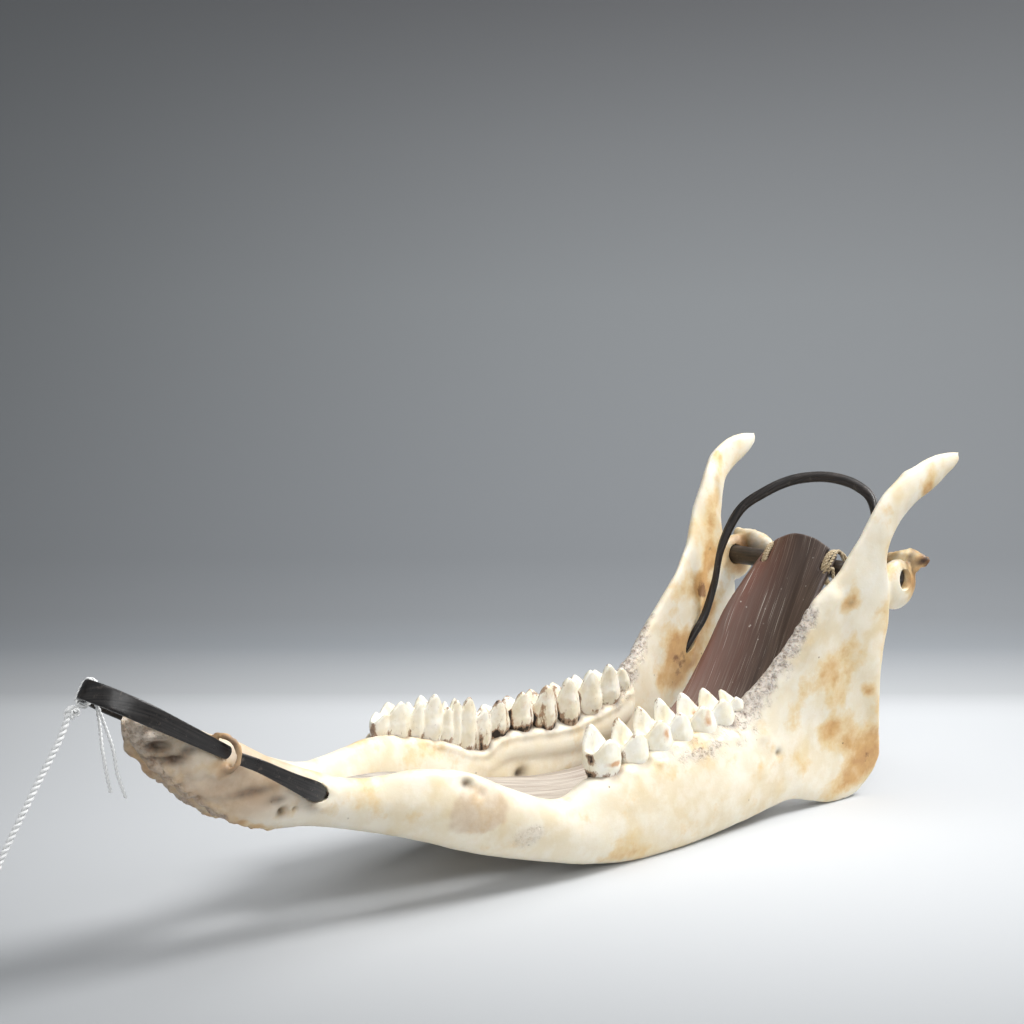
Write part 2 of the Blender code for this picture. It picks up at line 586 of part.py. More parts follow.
def thread_wrap(mat):
    """Thread wound round the bend of the front hoop."""
    bend_x, bend_long = FRONT_HOOP_BEND
    foot_x, foot_z = FRONT_HOOP_FOOT
    depth = math.sqrt(1.0 - (WRAP_Y / FRONT_HOOP_SIDE) ** 2)
    x = bend_x - bend_long * depth
    centre = Vector((x, WRAP_Y, foot_z + (foot_x - x) * FRONT_HOOP_RISE))
    slope = bend_long * WRAP_Y / FRONT_HOOP_SIDE ** 2 / depth
    ahead = Vector((slope, 1.0, -slope * FRONT_HOOP_RISE)).normalized()
    broad = Vector(HOOP_WIDTH_WAY)
    broad = (broad - ahead * broad.dot(ahead)).normalized()
    thin = ahead.cross(broad)
    rings = []
    for i in range(20):
        a = 2 * math.pi * i / 20
        c, s = math.cos(a), math.sin(a)
        out = broad * (math.copysign(abs(c) ** 0.7, c) * (FRONT_HOOP_WIDTH / 2 + GAP + 0.7))
        out += thin * (math.copysign(abs(s) ** 0.7, s) * (FRONT_HOOP_THICKNESS / 2 + GAP + 0.8))
        away = out.normalized()
        rings.append([
            place(centre + out + away * (0.6 * math.cos(b)) + ahead * (1.0 * math.sin(b)))
            for b in (2 * math.pi * k / 8 for k in range(8))
        ])
    from_rings("thread_wrap", rings, mat, closed=True)


def tag(mat):
    """Plain card tag with clipped corners and a round hole."""
    cx, cy = TAG_CENTRE
    long, wide, thick = TAG_SIZE
    clip = 5.0
    outline = [
        (-long / 2, -wide / 2), (long / 2 - clip, -wide / 2), (long / 2, -wide / 2 + clip),
        (long / 2, wide / 2 - clip), (long / 2 - clip, wide / 2), (-long / 2, wide / 2),
    ]
    under = FLOOR_Z + 0.05
    rings = [[place((cx + x, cy + y, z)) for x, y in outline] for z in (under, under + thick)]
    card = from_rings("tag", rings, mat)
    for face in card.data.polygons:
        face.use_smooth = False
    hole = [
        [place((cx + long / 2 - 3.6 + 1.6 * math.cos(a), cy + 1.6 * math.sin(a), z))
         for a in (2 * math.pi * k / 14 for k in range(14))]
        for z in (FLOOR_Z - 1.0, FLOOR_Z + 2.0)
    ]
    boolean(card, [from_rings("hole", hole, mat)], "DIFFERENCE")


def main():
    for obj in list(bpy.data.objects):
        bpy.data.objects.remove(obj)
    bone = material("bone", "E6D9BE", 0.55)
    dark = material("dark_horn", "1E1B1A", 0.35)
    brown = material("brown_horn", "4A3A31", 0.5)
    sinew = material("sinew", "A08C6C", 0.8)
    white = material("white_thread", "EEEEEA", 0.85)
    card = material("tag_card", "E9E2D0", 0.8)
    jaw_half("jaw_left", -1, bone)
    jaw_half("jaw_right", 1, bone)
    front_hoop(dark)
    hoop_tail("hoop_tail_left", -1, dark)
    hoop_tail("hoop_tail_right", 1, dark)
    rear_hoop(dark)
    scoop(brown)
    cross_bar(dark)
    for name, y in (("tie_left", -TIE_Y), ("tie_right", TIE_Y)):
        ring_round_y(name, BAR_AXIS, y, TIE_RADIUS, TIE_TUBE, sinew, squash=1.4)
    thread_wrap(white)
    cord("tag_thread", smooth(THREAD_ROUTE, 3), THREAD_RADIUS, white)
    cord("thread_ends", smooth(LOOSE_ROUTE, 3), LOOSE_RADIUS, white)
    tag(card)


main()
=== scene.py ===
"""Looks of a deer jawbone with horn fittings: bone, teeth, hoops, scoop, ties, thread, tag and the studio."""
import itertools
import json
import math

import bmesh
import bpy
import numpy as np
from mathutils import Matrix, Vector, noise

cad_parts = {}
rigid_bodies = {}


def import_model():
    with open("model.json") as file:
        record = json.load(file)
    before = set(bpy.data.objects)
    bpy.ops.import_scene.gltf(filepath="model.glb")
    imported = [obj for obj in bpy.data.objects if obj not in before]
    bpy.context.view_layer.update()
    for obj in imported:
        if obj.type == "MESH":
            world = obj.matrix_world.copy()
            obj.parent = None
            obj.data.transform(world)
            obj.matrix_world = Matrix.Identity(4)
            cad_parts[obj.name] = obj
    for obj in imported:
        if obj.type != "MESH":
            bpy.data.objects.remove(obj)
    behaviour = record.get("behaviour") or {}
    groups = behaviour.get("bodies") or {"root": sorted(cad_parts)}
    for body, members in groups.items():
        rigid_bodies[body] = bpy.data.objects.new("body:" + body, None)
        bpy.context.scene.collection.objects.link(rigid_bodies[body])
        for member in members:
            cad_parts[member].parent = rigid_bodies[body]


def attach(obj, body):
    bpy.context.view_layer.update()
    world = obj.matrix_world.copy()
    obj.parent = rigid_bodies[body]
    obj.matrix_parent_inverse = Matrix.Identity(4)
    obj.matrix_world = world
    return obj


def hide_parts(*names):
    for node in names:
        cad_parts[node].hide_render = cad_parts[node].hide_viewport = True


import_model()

bl_info = {
    "name": "Deer Jawbone",
    "version": (1, 0, 0),
    "blender": (4, 5, 0),
    "location": "View3D > Sidebar > Jawbone",
    "description": "Makes a deer's lower jaw with its hoops, scoop, ties, thread and tag",
    "category": "Object",
}

MM = 0.001
GAP = 0.35
CENTRE_X = 146.34
FLOOR_Z = 2.3
ORIGIN = np.array((CENTRE_X, 0, FLOOR_Z))

# Jaw half: lower edge, upper edge and half thickness along the bone, from chin to coronoid tip
LOWER_EDGE = [
    (1.2, 2.2, 66.8), (3.2, 3.8, 60.6), (8, 5.2, 54.2), (16.5, 5.6, 46), (27, 6.2, 37.6), (38, 7, 32.8),
    (51, 9, 31.6), (67, 12, 27.4), (85, 17, 21.3), (105, 21.5, 14.2), (126, 25, 8.2), (147, 27.2, 3.4),
    (168, 28.2, 1.2), (186, 29.2, 2.2), (204, 30.2, 3.8), (219, 31, 5.4), (231, 31.6, 6.6), (242, 32.6, 4),
    (252, 33.6, 1.4), (263, 35.2, 4.2), (270.5, 37, 13), (268.5, 38.4, 24.5), (267.2, 39, 37),
    (267.8, 39.2, 50), (270.2, 39.4, 62), (268.5, 40, 74), (266.6, 40.6, 83), (271, 41.2, 92),
    (279.5, 42.2, 99.6), (290, 43, 104), (298.8, 43.5, 108.6), (302.8, 43.8, 111.6),
]
UPPER_EDGE = [
    (2.4, 2.2, 69.6), (5.2, 4.2, 69.2), (11, 5, 66.8), (20, 5.4, 62.4), (30, 6, 58.6), (40, 6.8, 52.6),
    (52, 8.8, 47.2), (65, 11.6, 42.6), (80, 15.6, 41.8), (96, 19.4, 40.6), (112, 22.4, 33.2),
    (131, 24.8, 26), (146, 25.6, 30.8), (164, 25.8, 33.6), (182, 25.8, 36.4), (197, 26, 38.8),
    (209, 26.8, 41.4), (216, 28.4, 46.6), (222, 30.4, 52.6), (229, 32.8, 61), (236.5, 35, 71),
    (243, 36.6, 76.6), (247, 37.8, 80.4), (250, 38.6, 84.8), (252.6, 39.4, 88.6), (255.4, 40, 92.6),
    (259.6, 40.8, 98.8), (266, 41.3, 105), (276, 42, 110.2), (286.5, 43, 114.4), (296, 43.5, 115.8),
    (303.2, 43.8, 115.2),
]
HALF_THICKNESS = [
    (1.6, 1.8, 1.4), (2.8, 3.2, 2.4), (4.4, 5, 3.8), (5, 5.8, 4.6), (4.8, 5.8, 4.8), (4.6, 5.4, 4.6),
    (4.4, 5, 4.2), (4.4, 5, 3.8), (4.8, 5.4, 3.8), (5.2, 5.8, 4), (5.4, 6.2, 4.6), (5.6, 6.6, 5.4),
    (5.8, 6.9, 5.8), (5.8, 7.1, 6), (5.4, 7, 6.2), (4.8, 6.4, 6.2), (4, 5.2, 5.8), (3.4, 4.2, 5),
    (3.4, 3.4, 4.4), (3.4, 2.8, 4), (3.4, 2.6, 3.6), (3.4, 2.6, 3.2), (3.4, 2.6, 3), (3.4, 2.6, 2.8),
    (3.6, 2.7, 2.6), (3.2, 2.8, 2.6), (2.8, 2.8, 2.6), (2.4, 2.8, 2.4), (2.2, 2.6, 2.2), (2, 2.4, 2),
    (1.6, 2, 1.6), (0.8, 1, 0.8),
]
PREMOLAR_RISE = {9: (98, 18.8, 42.4), 10: (114, 21.4, 38.6), 11: (130, 23.6, 33), 12: (146, 24.8, 30)}
RIGHT_RAMUS_SHIFT = {
    17: (0, 2), 18: (0.5, 2.5), 19: (3, 4.5), 20: (5, 6.7), 21: (7, 6.2), 22: (8.5, 6.2), 23: (9, 5.9),
    24: (8.4, 5.6), 25: (7.6, 5), 26: (7, 5), 27: (5, 3.6), 28: (2.2, 0.6),
}
INWARD_SHARE = 0.8
CHIN_SWEEP = 0.95
CHIN_SWEEP_END = 24

# Cheek tooth lobes: place at the neck, neck height, inner and outer tip height, half length and width, lean
LEFT_LOBES = [
    (149.8, 30.6, 44.7, 41.4, 6.2, 4.6, 1.6), (162.6, 30.4, 44.5, 41.4, 5.8, 4.7, 2.6),
    (174, 31.2, 46.4, 43.4, 6, 4.8, 4.6), (183.6, 32.2, 47.4, 44.2, 5.7, 4.8, 5.2),
    (194.4, 33, 47.4, 44.4, 6.2, 4.7, 5.4), (204, 34, 47.2, 44.8, 5.8, 4.4, 5),
    (211.4, 37.8, 45.6, 44, 3.8, 3.4, 4.6),
]
RIGHT_LOBES = [
    (104.9, 41.4, 47.5, 47.2, 3.2, 2.8, -0.6), (111, 40.2, 50.4, 49.2, 5, 3.7, 0.2),
    (118, 38.4, 48.8, 48, 3.2, 3.4, -0.6), (124, 36.8, 50.6, 49, 4.8, 4, -0.2),
    (129.8, 34.8, 45.6, 45.8, 3.2, 3.8, 0), (133.6, 32.6, 47, 45.6, 3, 3.6, 0),
    (138.6, 31, 47.4, 45.8, 4.4, 4.2, 0.4), (144.8, 30.2, 42.4, 43, 4, 4.4, 0.4),
    (152, 33.4, 44.2, 41.6, 5.2, 4.4, 1.4), (162.2, 33, 45.2, 42.6, 5.4, 4.6, 1.4),
    (172.8, 32, 45.6, 43, 5.6, 4.8, 1.4), (183.6, 31.6, 46.4, 43.6, 5.6, 4.8, 2.2),
    (194, 33.2, 47.4, 44.4, 5.6, 4.7, 2.4), (203.4, 35, 47.8, 44.6, 5.2, 4.4, 2.6),
    (210.4, 38.4, 45.4, 44.4, 3.4, 3.4, 2.8),
]
SOCKET_DEPTH = 2.9
SOCKET_RADIUS = 3.2
SOCKET_SPREAD = 1.75
TOOTH_CENTRE_Y = 24.6

# Hoops: a flat strap round the chin with its two tails, and a rod bent over at the rear
FRONT_HOOP_SIDE = 11.6
FRONT_HOOP_BEND = (5, 13.6)
FRONT_HOOP_FOOT = (23.6, 57.6)
FRONT_HOOP_RISE = 0.6
FRONT_HOOP_WIDTH = 5.4
FRONT_HOOP_FOOT_WIDTH = 3.6
FRONT_HOOP_THICKNESS = 1.8
HOOP_WIDTH_WAY = (0.52, 0, 0.85)
TAIL_POINTS = [(26.6, 12.6, 55.6), (33, 13.4, 52.4), (41, 14.2, 47.6), (49, 14.2, 43), (56.2, 12.2, 39.4)]
TAIL_WIDTHS = [3.2, 3.3, 3.5, 3.8, 4.2, 4.8, 5.4, 4.8, 2.2]
TAIL_THICKNESS = 1.6
REAR_HOOP_RIGHT = [
    (244.8, 31.2, 37.4), (247.8, 30, 42.4), (251.6, 27.8, 49.2), (255.8, 26.2, 56.4), (259.4, 25.2, 67.4),
    (261.7, 24, 80.2), (266.3, 20, 92.5), (271.3, 13, 99.1), (276.2, 6, 103.2), (279.6, -2, 105),
]
REAR_HOOP_LEFT = [
    (281.4, -10, 105), (282.4, -18, 103), (281.8, -24.6, 98.6), (277.4, -29.4, 89), (272.4, -30.6, 76),
    (267.4, -31.2, 63), (259.5, -31.8, 52), (251, -33, 44.2), (245.8, -34.3, 40.4),
]

# Scoop: edge line, middle line and half width, from the front tip to the rear lip
SCOOP_EDGE = [
    (74, 37.4), (94, 34.4), (120, 27.4), (148, 20.4), (175, 16.6), (200, 17.6), (221, 22.8), (235, 31.2),
    (246.4, 46), (254.4, 58.8), (263, 68), (270.8, 75), (276, 79.4),
]
SCOOP_MIDDLE = [
    (73, 35.6), (94, 31.4), (120, 22.6), (148, 14.6), (176, 10.6), (203, 11.4), (227, 17), (243, 26.4),
    (254.6, 43), (261.6, 57), (268, 69), (272.4, 78), (275.2, 85.4),
]
SCOOP_HALF_WIDTH = [4.6, 9.6, 14.6, 17.8, 19.2, 19.8, 20, 19.6, 18.2, 17, 16, 15.4, 15]
SCOOP_THICKNESS = 1.4

BAR_AXIS = (277.4, 74.4)
BAR_RADIUS = 3.2
PEG_HOLE = (44.6, 38.4)
BAR_ENDS = (-39.6, 36.2)
NECK_CENTRES = {-1: (276.8, 38.6, 72.6), 1: (280, 33.6, 72.6)}
CONDYLE_SHIFT = {-1: (0, 0), 1: (-1, 4.5)}
CONDYLE = [
    (285.6, 24.6, 77), (286.2, 27.6, 77.8), (286.6, 33, 78.8), (286.8, 38, 79.2), (287.6, 41.6, 79.6),
    (289, 43.8, 80.2),
]
CONDYLE_RADII = [1.6, 3, 3.6, 3.6, 2.6, 0.9]
STRAP_HOLDER = [
    (22.4, 8.4, 61.6), (23.2, 11.8, 61.9), (24.6, 14.6, 60), (25.2, 15, 56.6), (24.2, 13.4, 53.4),
    (22.8, 9.4, 51.8),
]
HOLDER_MIDDLE = (22.5, 12, 58)
TIE_Y = 12.8
TIE_RADIUS = 6.1
TIE_HOLE_RADIUS = 1.15
TIE_HOLE_SPREAD = 1.5
TIE_KNOT = [
    (5.6, 0, 1.5), (0, -1.6, 6.4), (-5.6, -2.4, 3), (-7.6, -1.4, -0.6), (-7.2, -3.2, -4), (-5.4, -3, -5.6),
    (-6.6, -1.6, -1.4), (-6, -3.6, 1.4), (-5, -3.4, -3.6),
]

# Thread, its loose ends and its tag
WRAP_Y = 8.4
WRAP_LIFT = 0.85
WRAP_KNOT = (-9, 8, 70.2)
TAG_CENTRE = (-84, 7)
TAG_SIZE = (34, 21, 0.6)
THREAD_ROUTE = [
    (-9.2, 8.2, 71.6), (-10, 8, 70), (-11.2, 7.6, 67.4), (-13.2, 7.3, 63.9), (-16.8, 7, 58.7),
    (-20.6, 7, 53.1), (-26.4, 7, 44), (-30.8, 7, 36.8), (-36.4, 7.2, 24.6), (-41, 7.5, 13.6),
    (-45, 7.8, 7.2), (-49.8, 8, 4), (-55, 7.8, 3.4), (-61, 7.4, 3.6), (-65.4, 7.1, 4.2), (-68.6, 7, 4.6),
]
LOOSE_ROUTE = [
    (-2.8, 1.2, 49.7), (-3.7, 1.4, 54.8), (-4.2, 2.2, 61), (-4.2, 3, 66.4), (-4.2, 3.9, 70.6),
    (-4.6, 4.1, 73.2), (-5.4, 3.1, 74.4), (-6, 1.6, 73.8), (-5.6, 0.5, 71), (-4.6, 0, 67.4),
    (-2.8, -0.4, 61.4), (-2.1, -1, 54.8), (-0.4, -2, 48.4),
]
ROUTE_STEPS = 3

# Spots on the bone, as place (rearwards, sideways, up), reach (rearwards, up) and strength
LEFT_TAN = [
    (250.7, 42, 69.9, 4.6, 3.6, 0.8), (246.9, 41, 45, 8, 7.5, 0.6), (261.4, 41, 39.4, 3.2, 3, 0.75),
    (258.2, 38, 12, 9, 8, 0.7), (247.8, 38, 26.8, 8, 6.5, 0.5), (231.8, 40, 44.2, 4, 5, 0.45),
    (262, 41, 24, 5, 8, 0.55), (283.7, 44, 104.7, 4.5, 3, 0.6), (289, 42, 79, 7, 5, 0.6),
    (281, 42, 74, 7, 7, 0.5), (20.6, 12, 53.9, 5, 3, 0.6), (150, 28, 6, 12, 3, 0.3),
    (215.6, 37, 33, 4, 5, 0.35),
]
RIGHT_TAN = [
    (246, 31, 44, 9, 11, 0.72), (257.5, 31, 58, 8, 11, 0.7), (256, 36, 20, 9, 10, 0.6),
    (264, 34, 80, 6, 10, 0.6), (280, 30, 74, 8, 8, 0.7), (238, 32, 36, 8, 6, 0.45), (20, 10, 52, 9, 6, 0.4),
]
# Dark spots on the left half: brown dirt, and painted shade along the groove under the tail (the spots at 30
# and 39 mm)
LEFT_DIRT_AND_SHADE = [
    (96.5, 24, 37, 2, 1.5, 0.9), (250.7, 42, 69.9, 1.3, 1, 0.4), (220.9, 33, 24.5, 1.2, 1, 0.7),
    (6.5, 6, 61.1, 3.2, 2, 1), (10.2, 8.5, 57.3, 3.4, 1.6, 1), (41.3, 13, 38, 1.5, 1.3, 0.95),
    (13.6, 8, 59.6, 3, 1.4, 0.7), (30, 14, 45.6, 9, 1.4, 0.75), (39, 15, 42, 3, 1.2, 0.8),
]
RIGHT_DIRT = [
    (159, 20, 18.7, 2.2, 1.8, 0.9), (281, 29, 77, 9, 6, 0.75), (6.5, 6, 61.1, 2.4, 1.6, 0.8),
    (272, 33, 100, 2, 6, 0.3),
]
LEFT_PITS = [
    (6.5, 6, 61.1, 2.6, 1.4, 3.4), (10, 8.5, 57.2, 3, 1.2, 2.6), (41.3, 13, 38, 1.6, 1.5, 2.4),
    (220.9, 33, 24.5, 1.6, 1.3, 0.9), (99.6, 22, 33.8, 1.6, 1.4, 0.8), (96.5, 24, 37, 2.4, 1.8, 1.5),
    (4.4, 4, 63.6, 1.7, 1.1, -1.3), (7.4, 6, 63.4, 2, 1.1, -1.2), (41, 15, 43.6, 2.4, 1.2, -0.7),
    (83.5, 15.5, 42.5, 6, 3.4, -0.9), (13.6, 8, 59.6, 3, 1.2, 1.6), (9, 7, 59.4, 2.6, 0.9, -1),
]
RIGHT_PITS = [(159, 20, 18.7, 2.6, 2, 2), (6.5, 6, 61.1, 2.4, 1.5, 2)]
STAIN_DEPTH = 30
PIT_DEPTH = 9

# Lines along the bone that its ridges, grooves, stains and porous strips follow
RIB_LINE = [(243, 39, 72), (233, 38, 57), (224, 37, 45.5), (215.6, 36, 31.8)]
INNER_RIB_LINE = [(277.5, 41, 109), (269, 36, 94), (256.5, 31, 63.5), (250, 28, 40)]
GROOVE_LINE = [(18, 12, 50), (26, 14, 47), (38, 15, 42.7)]
# Painted shade along the groove under the front hoop's tail
GROOVE_SHADE_LINE = [(20, 12, 48.6), (29, 14.4, 45.6), (39, 15, 42), (49, 14.6, 38.6)]
SLOT_LIPS_LINE = [(47, 14, 46), (53, 14, 43.5), (57.5, 13, 39.8), (53, 14, 37.2), (46, 14, 38.6)]
FRONT_STRIP_LINE = [(211, 27, 42.5), (222, 30.4, 53), (233, 34, 67)]
POROUS_LINE = [(205, 26.5, 39), (213, 27.6, 44.5), (222, 30.4, 53), (234, 34.2, 68)]
RAGGED_LINE = [(8, 5.2, 54.2), (16.5, 5.6, 46), (27, 6.5, 37.6), (38, 7, 32.8)]
REAR_EDGE_LINE = [(270, 37, 14), (267, 39, 37), (269.5, 39.4, 62), (267, 40.6, 83)]

# Warm bands on the left teeth: place, height, half width, half height and strength
LEFT_TOOTH_BANDS = [(172.5, 38, 2.6, 3.4, 0.9), (192, 39.5, 2.4, 3.8, 0.9), (150, 33.6, 5, 1.2, 1)]

# Studio: paper sweep in metres, its painted shade from the floor up, the lights and the camera
SWEEP_FLAT = 0.16
SWEEP_CURVE = 0.4
SWEEP_FRONT = -1.6
SWEEP_TOP = 2.4
SWEEP_HALF_WIDTH = 2.6
SWEEP_PAINTED_SHADE = [
    (0, "C6C8CA"), (0.004, "A9ABAD"), (0.0245, "82868A"), (0.0425, "787B7E"), (0.0885, "6E7174"),
    (0.376, "6E7173"), (0.58, "656769"), (0.785, "565759"),
]
LIGHTS = {
    "key": ((0.75, -0.38, 0.95), (0.02, 0, 0.03), 0.5),
    "fill": ((-0.75, -0.95, 0.8), (0, 0, 0.03), 1.1),
    "top": ((0.1, 0.1, 1.3), (0, 0, 0), 1.2),
}
CAMERA_PLACE = (-260, -409, 189)
CAMERA_PITCH = 8.2
CAMERA_TURN = 44.08
CAMERA_LENS = 68.55
CAMERA_SENSOR = 36


def place(point):
    """Point in millimetres from the chin, as a vector in metres about the part's middle."""
    return Vector(((point[0] - CENTRE_X) * MM, point[1] * MM, (point[2] - FLOOR_Z) * MM))


def smooth(rows, steps):
    """Rows on a smooth curve through the given rows, with a number of steps between two."""
    out = []
    last = len(rows) - 1
    for i in range(last):
        a, b, c, d = rows[max(i - 1, 0)], rows[i], rows[i + 1], rows[min(i + 2, last)]
        for s in range(steps):
            t = s / steps
            row = []
            for p, q, r, w in zip(a, b, c, d):
                bend, twist = 2 * p - 5 * q + 4 * r - w, 3 * q - p - 3 * r + w
                row.append(0.5 * (2 * q + (r - p) * t + bend * t * t + twist * t ** 3))
            out.append(tuple(row))
    out.append(tuple(rows[-1]))
    return out


def linear(colour):
    """An sRGB hex value as linear red, green, blue and one for alpha."""
    channels = [int(colour[i:i + 2], 16) / 255 for i in (0, 2, 4)]
    return (*(c / 12.92 if c <= 0.04045 else ((c + 0.055) / 1.055) ** 2.4 for c in channels), 1)


def feed(node, inputs):
    """Sets or links each input of a node, given by name or number."""
    for name, value in inputs.items():
        if isinstance(value, bpy.types.NodeSocket):
            node.id_data.links.new(value, node.inputs[name])
        else:
            node.inputs[name].default_value = value


def add(tree, kind, inputs=None, **settings):
    """Adds a node with its settings, and sets or links each of its inputs."""
    made = tree.nodes.new(kind)
    for name, value in settings.items():
        setattr(made, name, value)
    feed(made, inputs or {})
    return made


def calc(way, *values):
    """Result of a maths node on sockets and numbers."""
    tree = next(v for v in values if isinstance(v, bpy.types.NodeSocket)).id_data
    return add(tree, "ShaderNodeMath", dict(enumerate(values)), operation=way).outputs[0]


def new_material(name):
    """Empty node material with its shader and its object coordinates."""
    mat = bpy.data.materials.new(name)
    mat.use_nodes = True
    tree = mat.node_tree
    tree.nodes.clear()
    shader = add(tree, "ShaderNodeBsdfPrincipled")
    add(tree, "ShaderNodeOutputMaterial", {"Surface": shader.outputs["BSDF"]})
    return mat, shader, add(tree, "ShaderNodeTexCoord").outputs["Object"]


def ramp(factor, stops):
    """Colour ramp through hex colours, or grey values, at given places."""
    made = add(factor.id_data, "ShaderNodeValToRGB", {"Fac": factor})
    while len(made.color_ramp.elements) < len(stops):
        made.color_ramp.elements.new(0.5)
    for element, (spot, colour) in zip(made.color_ramp.elements, stops):
        element.position = spot
        element.color = linear(colour) if isinstance(colour, str) else (colour, colour, colour, 1)
    return made.outputs["Color"]


def blend(factor, first, second):
    """Mixes two colours, each a socket or a hex value, by a factor."""
    made = add(factor.id_data, "ShaderNodeMix", {"Factor": factor}, data_type="RGBA")
    colours = [linear(c) if isinstance(c, str) else c for c in (first, second)]
    feed(made, dict(zip((6, 7), colours)))
    return made.outputs[2]


def over(colour, *layers):
    """Lays colours over one another, each given by its factor and itself."""
    for factor, top in layers:
        colour = blend(factor, colour, top)
    return colour


def grain(spot, size_mm, detail=4, rough=0.55, stretch=(1, 1, 1)):
    """Noise whose lumps are about a size in millimetres, stretched along the axes."""
    scale = tuple(1 / (size_mm * MM * s) for s in stretch)
    moved = add(spot.id_data, "ShaderNodeMapping", {"Vector": spot, "Scale": scale}).outputs["Vector"]
    inputs = {"Vector": moved, "Scale": 1, "Detail": detail, "Roughness": rough}
    return add(spot.id_data, "ShaderNodeTexNoise", inputs).outputs["Fac"]


def specks(spot, apart_mm, stops):
    """Round specks about a distance in millimetres apart, through a ramp."""
    inputs = {"Vector": spot, "Scale": 1 / (apart_mm * MM), "Randomness": 1}
    return ramp(add(spot.id_data, "ShaderNodeTexVoronoi", inputs).outputs["Distance"], stops)


def between(value, low, high):
    """Share of the way of a value from one number to another."""
    inputs = {"Value": value, "From Min": low, "From Max": high}
    return add(value.id_data, "ShaderNodeMapRange", inputs).outputs["Result"]


def bump(height, depth_mm, normal=None):
    """Bump of a depth in millimetres from a height between none and one."""
    inputs = {"Height": height, "Distance": depth_mm * MM, "Strength": 1}
    if normal is not None:
        inputs["Normal"] = normal
    return add(height.id_data, "ShaderNodeBump", inputs).outputs["Normal"]


def attribute(spot, name):
    """Value of a named vertex attribute."""
    return add(spot.id_data, "ShaderNodeAttribute", attribute_name=name).outputs["Fac"]


def along_uv(spot):
    """UV map that runs along a piece."""
    return add(spot.id_data, "ShaderNodeUVMap", uv_map="along").outputs["UV"]


def bone_material():
    """Dry bone: waxy ivory with crisp tan stains, chalky spots, brown pores, a grey porous strip, dark brown
    dirt and painted shade along the groove under the tail.
    """
    mat, shader, spot = new_material("dry_bone")
    middle = grain(spot, 7, 5, 0.6)
    porous = attribute(spot, "porous")
    ragged = calc("ADD", grain(spot, 11, 7, 0.62), -0.5)
    ragged = calc("MULTIPLY_ADD", ragged, 1.9, attribute(spot, "tan"))
    some = ramp(grain(spot, 9, 2, 0.5), [(0.5, 0), (0.58, 1)])
    inside = ramp(middle, [(0.36, "BE8646"), (0.5, "CE9C5A"), (0.66, "DAB886")])
    colour = over(
        ramp(grain(spot, 26, 3, 0.5), [(0.3, "EDE4D0"), (0.5, "E8DBC0"), (0.66, "E0CFAE")]),
        (calc("MULTIPLY", ramp(middle, [(0.42, 0), (0.6, 1)]), 0.4), "F5F1E6"),
        (ramp(grain(spot, 13, 2, 0.4), [(0.6, 0), (0.72, 0.3)]), "DFC386"),
        (ramp(ragged, [(0.1, 0), (0.32, 0.7)]), "E2C48C"),
        (ramp(ragged, [(0.32, 0), (0.62, 0.78)]), inside),
        (ramp(ragged, [(0.86, 0), (1.15, 0.8)]), "7A4E2C"),
        (attribute(spot, "pink"), ramp(middle, [(0.36, "B9987B"), (0.62, "D3BA9E")])),
        (porous, ramp(grain(spot, 1.4, 4, 0.7), [(0.34, "6F5E57"), (0.42, "B8AA9E"), (0.56, "D9CFC5")])),
        # Dark brown: dirt, and painted shade along the groove under the tail
        (attribute(spot, "dirt"), ramp(grain(spot, 2, 4, 0.6), [(0.4, "2C1F17"), (0.62, "6B4A30")])),
        (calc("MULTIPLY", specks(spot, 5.5, [(0.03, 0.8), (0.075, 0)]), some), "6E5236"),
    )
    pits = ramp(grain(spot, 1.3, 3, 0.65), [(0.36, 0), (0.48, 1)])
    normal = bump(grain(spot, 0.9, 4, 0.6), 0.04)
    normal = bump(grain(spot, 1.1, 3, 0.5, (8, 1, 1)), 0.035, normal)
    normal = bump(calc("MULTIPLY", calc("SUBTRACT", 1, pits), porous), -0.5, normal)
    feed(shader, {
        "Base Color": colour, "Normal": normal, "IOR": 1.5,
        "Roughness": blend(porous, ramp(middle, [(0.3, 0.4), (0.7, 0.6)]), "E6E6E6"),
        "Subsurface Weight": 0.15, "Subsurface Radius": (1, 0.6, 0.35), "Subsurface Scale": 1.6 * MM,
    })
    return mat


def enamel_material():
    """Tooth enamel: white ivory and glossy, with faint orange bands and black-brown stain in the grooves."""
    mat, shader, spot = new_material("tooth_enamel")
    warm = calc("MULTIPLY", attribute(spot, "neck"), grain(spot, 3.4, 3, 0.6))
    stain = calc("ADD", grain(spot, 2.4, 4, 0.7, (1, 1, 2.4)), -0.5)
    stain = calc("MULTIPLY_ADD", stain, 1.6, attribute(spot, "stain"))
    black = ramp(stain, [(0.55, 0), (0.72, 1)])
    colour = over(
        ramp(grain(spot, 5, 3, 0.5), [(0.35, "F6F2E6"), (0.62, "EDE4CC")]),
        (ramp(warm, [(0.24, 0), (0.5, 0.8)]), "C98F55"),
        (ramp(stain, [(0.34, 0), (0.5, 0.8)]), "8C5F38"),
        (black, "2A1E17"),
        (ramp(grain(spot, 0.7, 3, 0.7), [(0.66, 0), (0.73, 0.6)]), "9B8A72"),
    )
    feed(shader, {
        "Base Color": colour, "Normal": bump(grain(spot, 1.2, 4, 0.6, (1, 1, 3)), 0.07), "IOR": 1.6,
        "Roughness": ramp(black, [(0, 0.26), (1, 0.7)]),
        "Subsurface Weight": 0.15, "Subsurface Radius": (1, 0.75, 0.5), "Subsurface Scale": MM,
    })
    return mat


